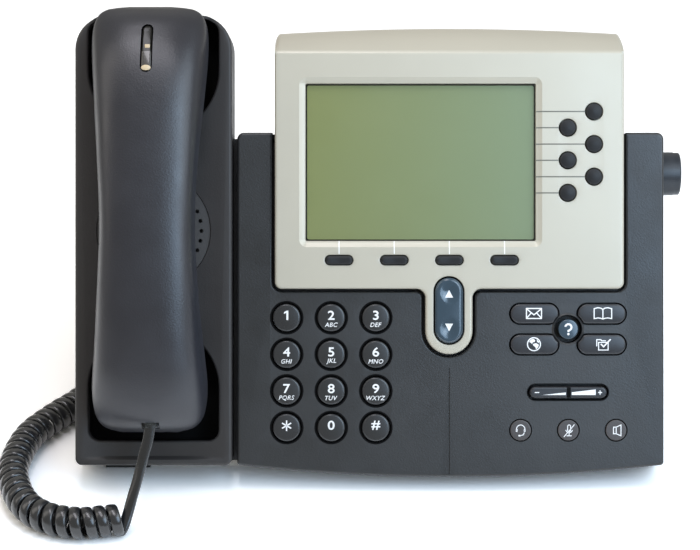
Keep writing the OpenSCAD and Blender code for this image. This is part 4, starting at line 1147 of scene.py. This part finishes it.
def turned_key(name, at, r, top, edge, crown, material):
    """A round key whose top is a shallow crown."""
    steps = [(r - d, h) for d, h in rounded(edge, top - crown, 5)]
    rest = [(steps[-1][0] * (1 - k / 8), top - crown * (1 - k / 8) ** 2) for k in range(1, 9)]
    bm = lathe([(0, KEY_FOOT), (r, KEY_FOOT), *steps, *rest], at)
    piece(name + "_cap", bm, material, name, [name], angle=40)


def pill_key(name, at, size, top, edge, material, shape, loop=None, node=None):
    """A key drawn by its outline, with a rounded edge and a top that is bent by shape."""
    bm = plate(loop or pill_loop(at, size), [(0, KEY_FOOT), (0, top - edge - 0.4), *rounded(edge, top, 6)])
    for axis in (0, 1):
        half = size[axis] / 2
        slice_at(bm, np.arange(at[axis] - half + KEY_SLICE, at[axis] + half, KEY_SLICE), axis)
    for p in bm.verts:
        if p.co.z > top - edge - 0.2:
            p.co.z += shape(p.co.x - at[0], p.co.y - at[1]) * ease((p.co.z - top + edge) / edge)
    piece(name + "_cap", bm, material, name, [node or name], angle=40)


def make_dial():
    rings = bmesh.new()
    for digit, (u, v) in zip(DIGITS, DIAL_AT):
        name = "key_" + DIAL_NAMES.get(digit, digit)
        turned_key(name, (u, v), DIAL_R, DIAL_TOP, 0.8, DIAL_CROWN, KEY_BLACK)
        # Painted shade: a near-black ring round the key.
        collar((u, v), DIAL_HOLE, DIAL_SHADE_RING, 72, rings)
        if digit == "*":
            bm = strokes(STAR, (u, v + 0.9), 0.6)
        elif digit == "1":
            bm = blots([ONE], (u, v + 1.1))
        else:
            bm = bmesh.new()
            letters(bm, digit, 4.05, (u, v + 1.1), 0.11, wide=1.16)
        if digit in GROUPS:
            letters(bm, GROUPS[digit], 1.95, (u, v - 3.05), 0.05, shear=0.25, spacing=1.08)
        lift(bm, lambda x, y: DIAL_TOP - DIAL_CROWN * (hypot(x - u, y - v) / (DIAL_R - 0.55)) ** 2)
        piece(name + "_print", bm, PRINT, name, flat=False)
    piece("dial_ring_shade", rings, PAINTED_SHADE, "base")


def make_scroll():
    u, v = SCROLL_AT

    def hollows(x, y):
        d = min(hypot(x / 4.6, (y - 7.9) / 5.4), hypot(x / 4.6, (y + 7.9) / 5.4))
        return 0.25 * (1 - (x / 6.1) ** 2) - 0.95 * (1 - ease(d))

    pill_key("scroll", SCROLL_AT, SCROLL_SIZE, SCROLL_TOP, 1.4, KEY_BLUE, hollows,
             node="scroll_rocker")
    bm = bmesh.new()
    for turn, y in ((1, 75.3), (-1, 60.7)):
        mark = blots([[(turn * a, turn * b) for a, b in ARROW]], (u, y))
        slice_at(mark, np.arange(y - 2, y + 2.5, 0.5), 1)
        slice_at(mark, np.arange(u - 2, u + 2.5, 0.5), 0)
        merge(bm, mark)
    lift(bm, lambda x, y: SCROLL_TOP + PRINT_LIFT + hollows(x - u, y - v))
    piece("scroll_arrows", bm, PRINT, "scroll", flat=False)


def menu_crown(x, y):
    """How far a menu key's top falls away from its middle line."""
    return -0.4 * (2 * y / MENU_SIZE[1]) ** 2 - 0.25 * (2 * x / MENU_SIZE[0]) ** 4


def make_menu():
    names = ("messages_key", "directories_key", "services_key", "settings_key")
    for name, at in zip(names, MENU_AT):
        pill_key(name, at, MENU_SIZE, MENU_TOP, 0.7, KEY_GREY, menu_crown, bitten(at, 0, BITE_R))
    places = [(x + (-0.3 if x < HELP_AT[0] else 0.38), y + 0.15) for x, y in MENU_AT]
    prints = [strokes(ENVELOPE, places[0], 0.48), strokes(BOOK, places[1], 0.46),
              blots(LANDS, places[2], bm=strokes(GLOBE, places[2], 0.46)),
              strokes(TICK, places[3], 0.6, bm=strokes(TICKED_BOX, places[3], 0.42))]
    for name, at, bm in zip(names, MENU_AT, prints):
        slice_at(bm, np.arange(at[1] - 3.1, at[1] + 3.2, 0.5), 1)
        lift(bm, lambda x, y: MENU_TOP + PRINT_LIFT + menu_crown(x - at[0], y - at[1]))
        piece(name + "_print", bm, PRINT, name, flat=False)
    turned_key("help_key", HELP_AT, HELP_R, HELP_TOP, 0.5, 0.15, KEY_BLUE)
    low = HELP_TOP - 0.02
    mark = blots([circle((0, -2.15), 0.52, 16)], HELP_AT, low, strokes(QUESTION, HELP_AT, 0.85, low))
    piece("help_key_print", mark, PRINT, "help_key", flat=False)
    # A near-black lining round the help key's well: painted shade in the well.
    ring = collar(HELP_AT, HELP_WELL, [(-0.2, -4), (-0.1, -0.2), (0.3, 0.42), (0.45, 0.3)])
    piece("help_ring_shade", ring, PAINTED_SHADE, "base")


def make_volume():
    u, v = VOLUME_AT

    def notch(x, y):
        return 0.25 * ease(abs(x) / 16)

    size = (VOLUME_SIZE[0] - 0.7, VOLUME_SIZE[1] - 0.9)
    pill_key("volume", VOLUME_AT, size, VOLUME_TOP, 0.9, KEY_GREY, notch, node="volume_rocker")
    bm = strokes(PLUS_MINUS, VOLUME_AT, 0.4, bm=blots(WEDGES, (0, 0)))
    slice_at(bm, np.arange(u - 16, u + 16, KEY_SLICE), 0)
    lift(bm, lambda x, y: VOLUME_TOP + PRINT_LIFT + notch(x - u, y))
    piece("volume_marks", bm, PRINT, "volume", flat=False)
    # A near-black block standing in the rocker's middle notch: painted shade of the notch.
    piece("volume_notch_shade", slab(u - 0.7, v - 2.3, 0.5, u + 1.1, v + 2.3, 1.9, 0.2), PAINTED_SHADE, "volume")


def make_audio():
    headset, mute, speaker = AUDIO_AT
    prints = {"headset_key": blots(EAR_PADS, headset, AUDIO_TOP, strokes(HEADSET, headset, 0.36, AUDIO_TOP)),
              "mute_key": strokes(MICROPHONE, mute, 0.36, AUDIO_TOP),
              "speaker_key": strokes(LOUDSPEAKER, speaker, 0.38, AUDIO_TOP)}
    for (name, bm), at in zip(prints.items(), AUDIO_AT):
        turned_key(name, at, AUDIO_R, AUDIO_TOP, 0.35, 0.02, KEY_WARM)
        piece(name + "_print", bm, PRINT, name, flat=False)


def make_bezel_keys():
    for i, at in enumerate(LINE_AT):
        turned_key(f"line_key_{i + 1}", at, LINE_R, LINE_TOP, 0.8, 0.5, KEY_MATTE)
    for i, at in enumerate(SOFT_AT):
        pill_key(f"soft_key_{i + 1}", at, SOFT_SIZE, SOFT_TOP, 1.1, KEY_MATTE,
                 lambda x, y: -0.3 * (1 - ease(abs(x) / 5)))


make_dial()
make_scroll()
make_menu()
make_volume()
make_audio()
make_bezel_keys()

# ---- knob and the CAD nodes that stay in view ----

AXLE_V = 129
AXLE_W = -20
KNOB = FACE @ move(MAIN[1], AXLE_V, AXLE_W) @ Matrix.Rotation(pi / 2, 4, "Y")
KNOB_R = 9.7
KNOB_OUT = 9.4
KNOB_STEPS = [(0.4, -4), (0.4, 0.5), (0, 0.9), (0, 6.4), (0.2, 6.7),
              *((0.2 + d, h) for d, h in rounded(0.8, KNOB_OUT, 5)), (3.1, KNOB_OUT), (3.5, KNOB_OUT - 0.35)]
DRESS = {"rear_housing": REAR, "footstand": REAR, "speaker_grille": CRADLE, "main_board": BOARD,
         "key_mats": RUBBER, "front_feet": RUBBER, "stand_pads": RUBBER, "case_screws": STEEL,
         "stand_axle": STEEL, "knob_spring": STEEL, "speaker_driver": SPEAKER, "handset_capsules": SPEAKER,
         "port_sockets": SOCKET}


def make_knob():
    """The release knob, drawn by (how far inside its radius, height) steps with a shallow dish on top."""
    profile = [(0, -4), *((KNOB_R - d, h) for d, h in KNOB_STEPS), (0, KNOB_OUT - 0.5)]
    knob = lathe(profile, n=96)
    piece("stand_knob_cap", knob, KNOB_PLASTIC, "knob", ["stand_knob"], KNOB, angle=40)


def dress_nodes():
    for name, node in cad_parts.items():
        for holder in node.material_slots:
            holder.material = DRESS.get(name, PLASTIC)


make_knob()
dress_nodes()

# ---- floor and light ----


def make_floor():
    bm = bmesh.new()
    bmesh.ops.create_grid(bm, x_segments=8, y_segments=8, size=3)
    mesh = to_mesh("floor", bm)
    mesh.materials.append(FLOOR)
    floor = add_object("floor", mesh)
    floor.location.z = -0.0002


def softbox(name, out, size, power, colour=(1, 1, 1), aim=LOOK_AT):
    """A soft lamp, placed by how far it stands right of, up from and out from the face."""
    at = LOOK_AT + FACE.to_3x3() @ Vector(out) / MM
    data = bpy.data.lights.new(name, "AREA")
    data.shape = "RECTANGLE"
    data.size, data.size_y = size
    data.energy = power
    data.color = colour
    add_facing(name, data, at, at - aim).visible_camera = False


def make_lights():
    softbox("key", (0.46, 0.3, 0.44), (0.6, 0.6), 3.2, (0.76, 0.88, 1))
    softbox("sheen", (0.36, 0.1, 0.75), (0.35, 0.5), 2.8, (0.52, 0.74, 1))
    softbox("top", (-0.12, 0.76, 0.5), (0.7, 0.22), 2.9, (0.95, 0.93, 1))
    softbox("side", (-0.62, 0.4, 0.34), (0.35, 0.7), 1.3, (1, 0.94, 0.88))
    softbox("back", (0, 1.3, -0.5), (1.2, 0.6), 0.5, aim=Vector((0, 0.9, 0)))
    world = bpy.data.worlds.new("studio")
    world.use_nodes = True
    back = world.node_tree.nodes["Background"]
    back.inputs["Color"].default_value = (1, 0.97, 0.88, 1)
    back.inputs["Strength"].default_value = 0.46
    scene.world = world


make_floor()
make_lights()
scene.view_settings.view_transform = "Standard"
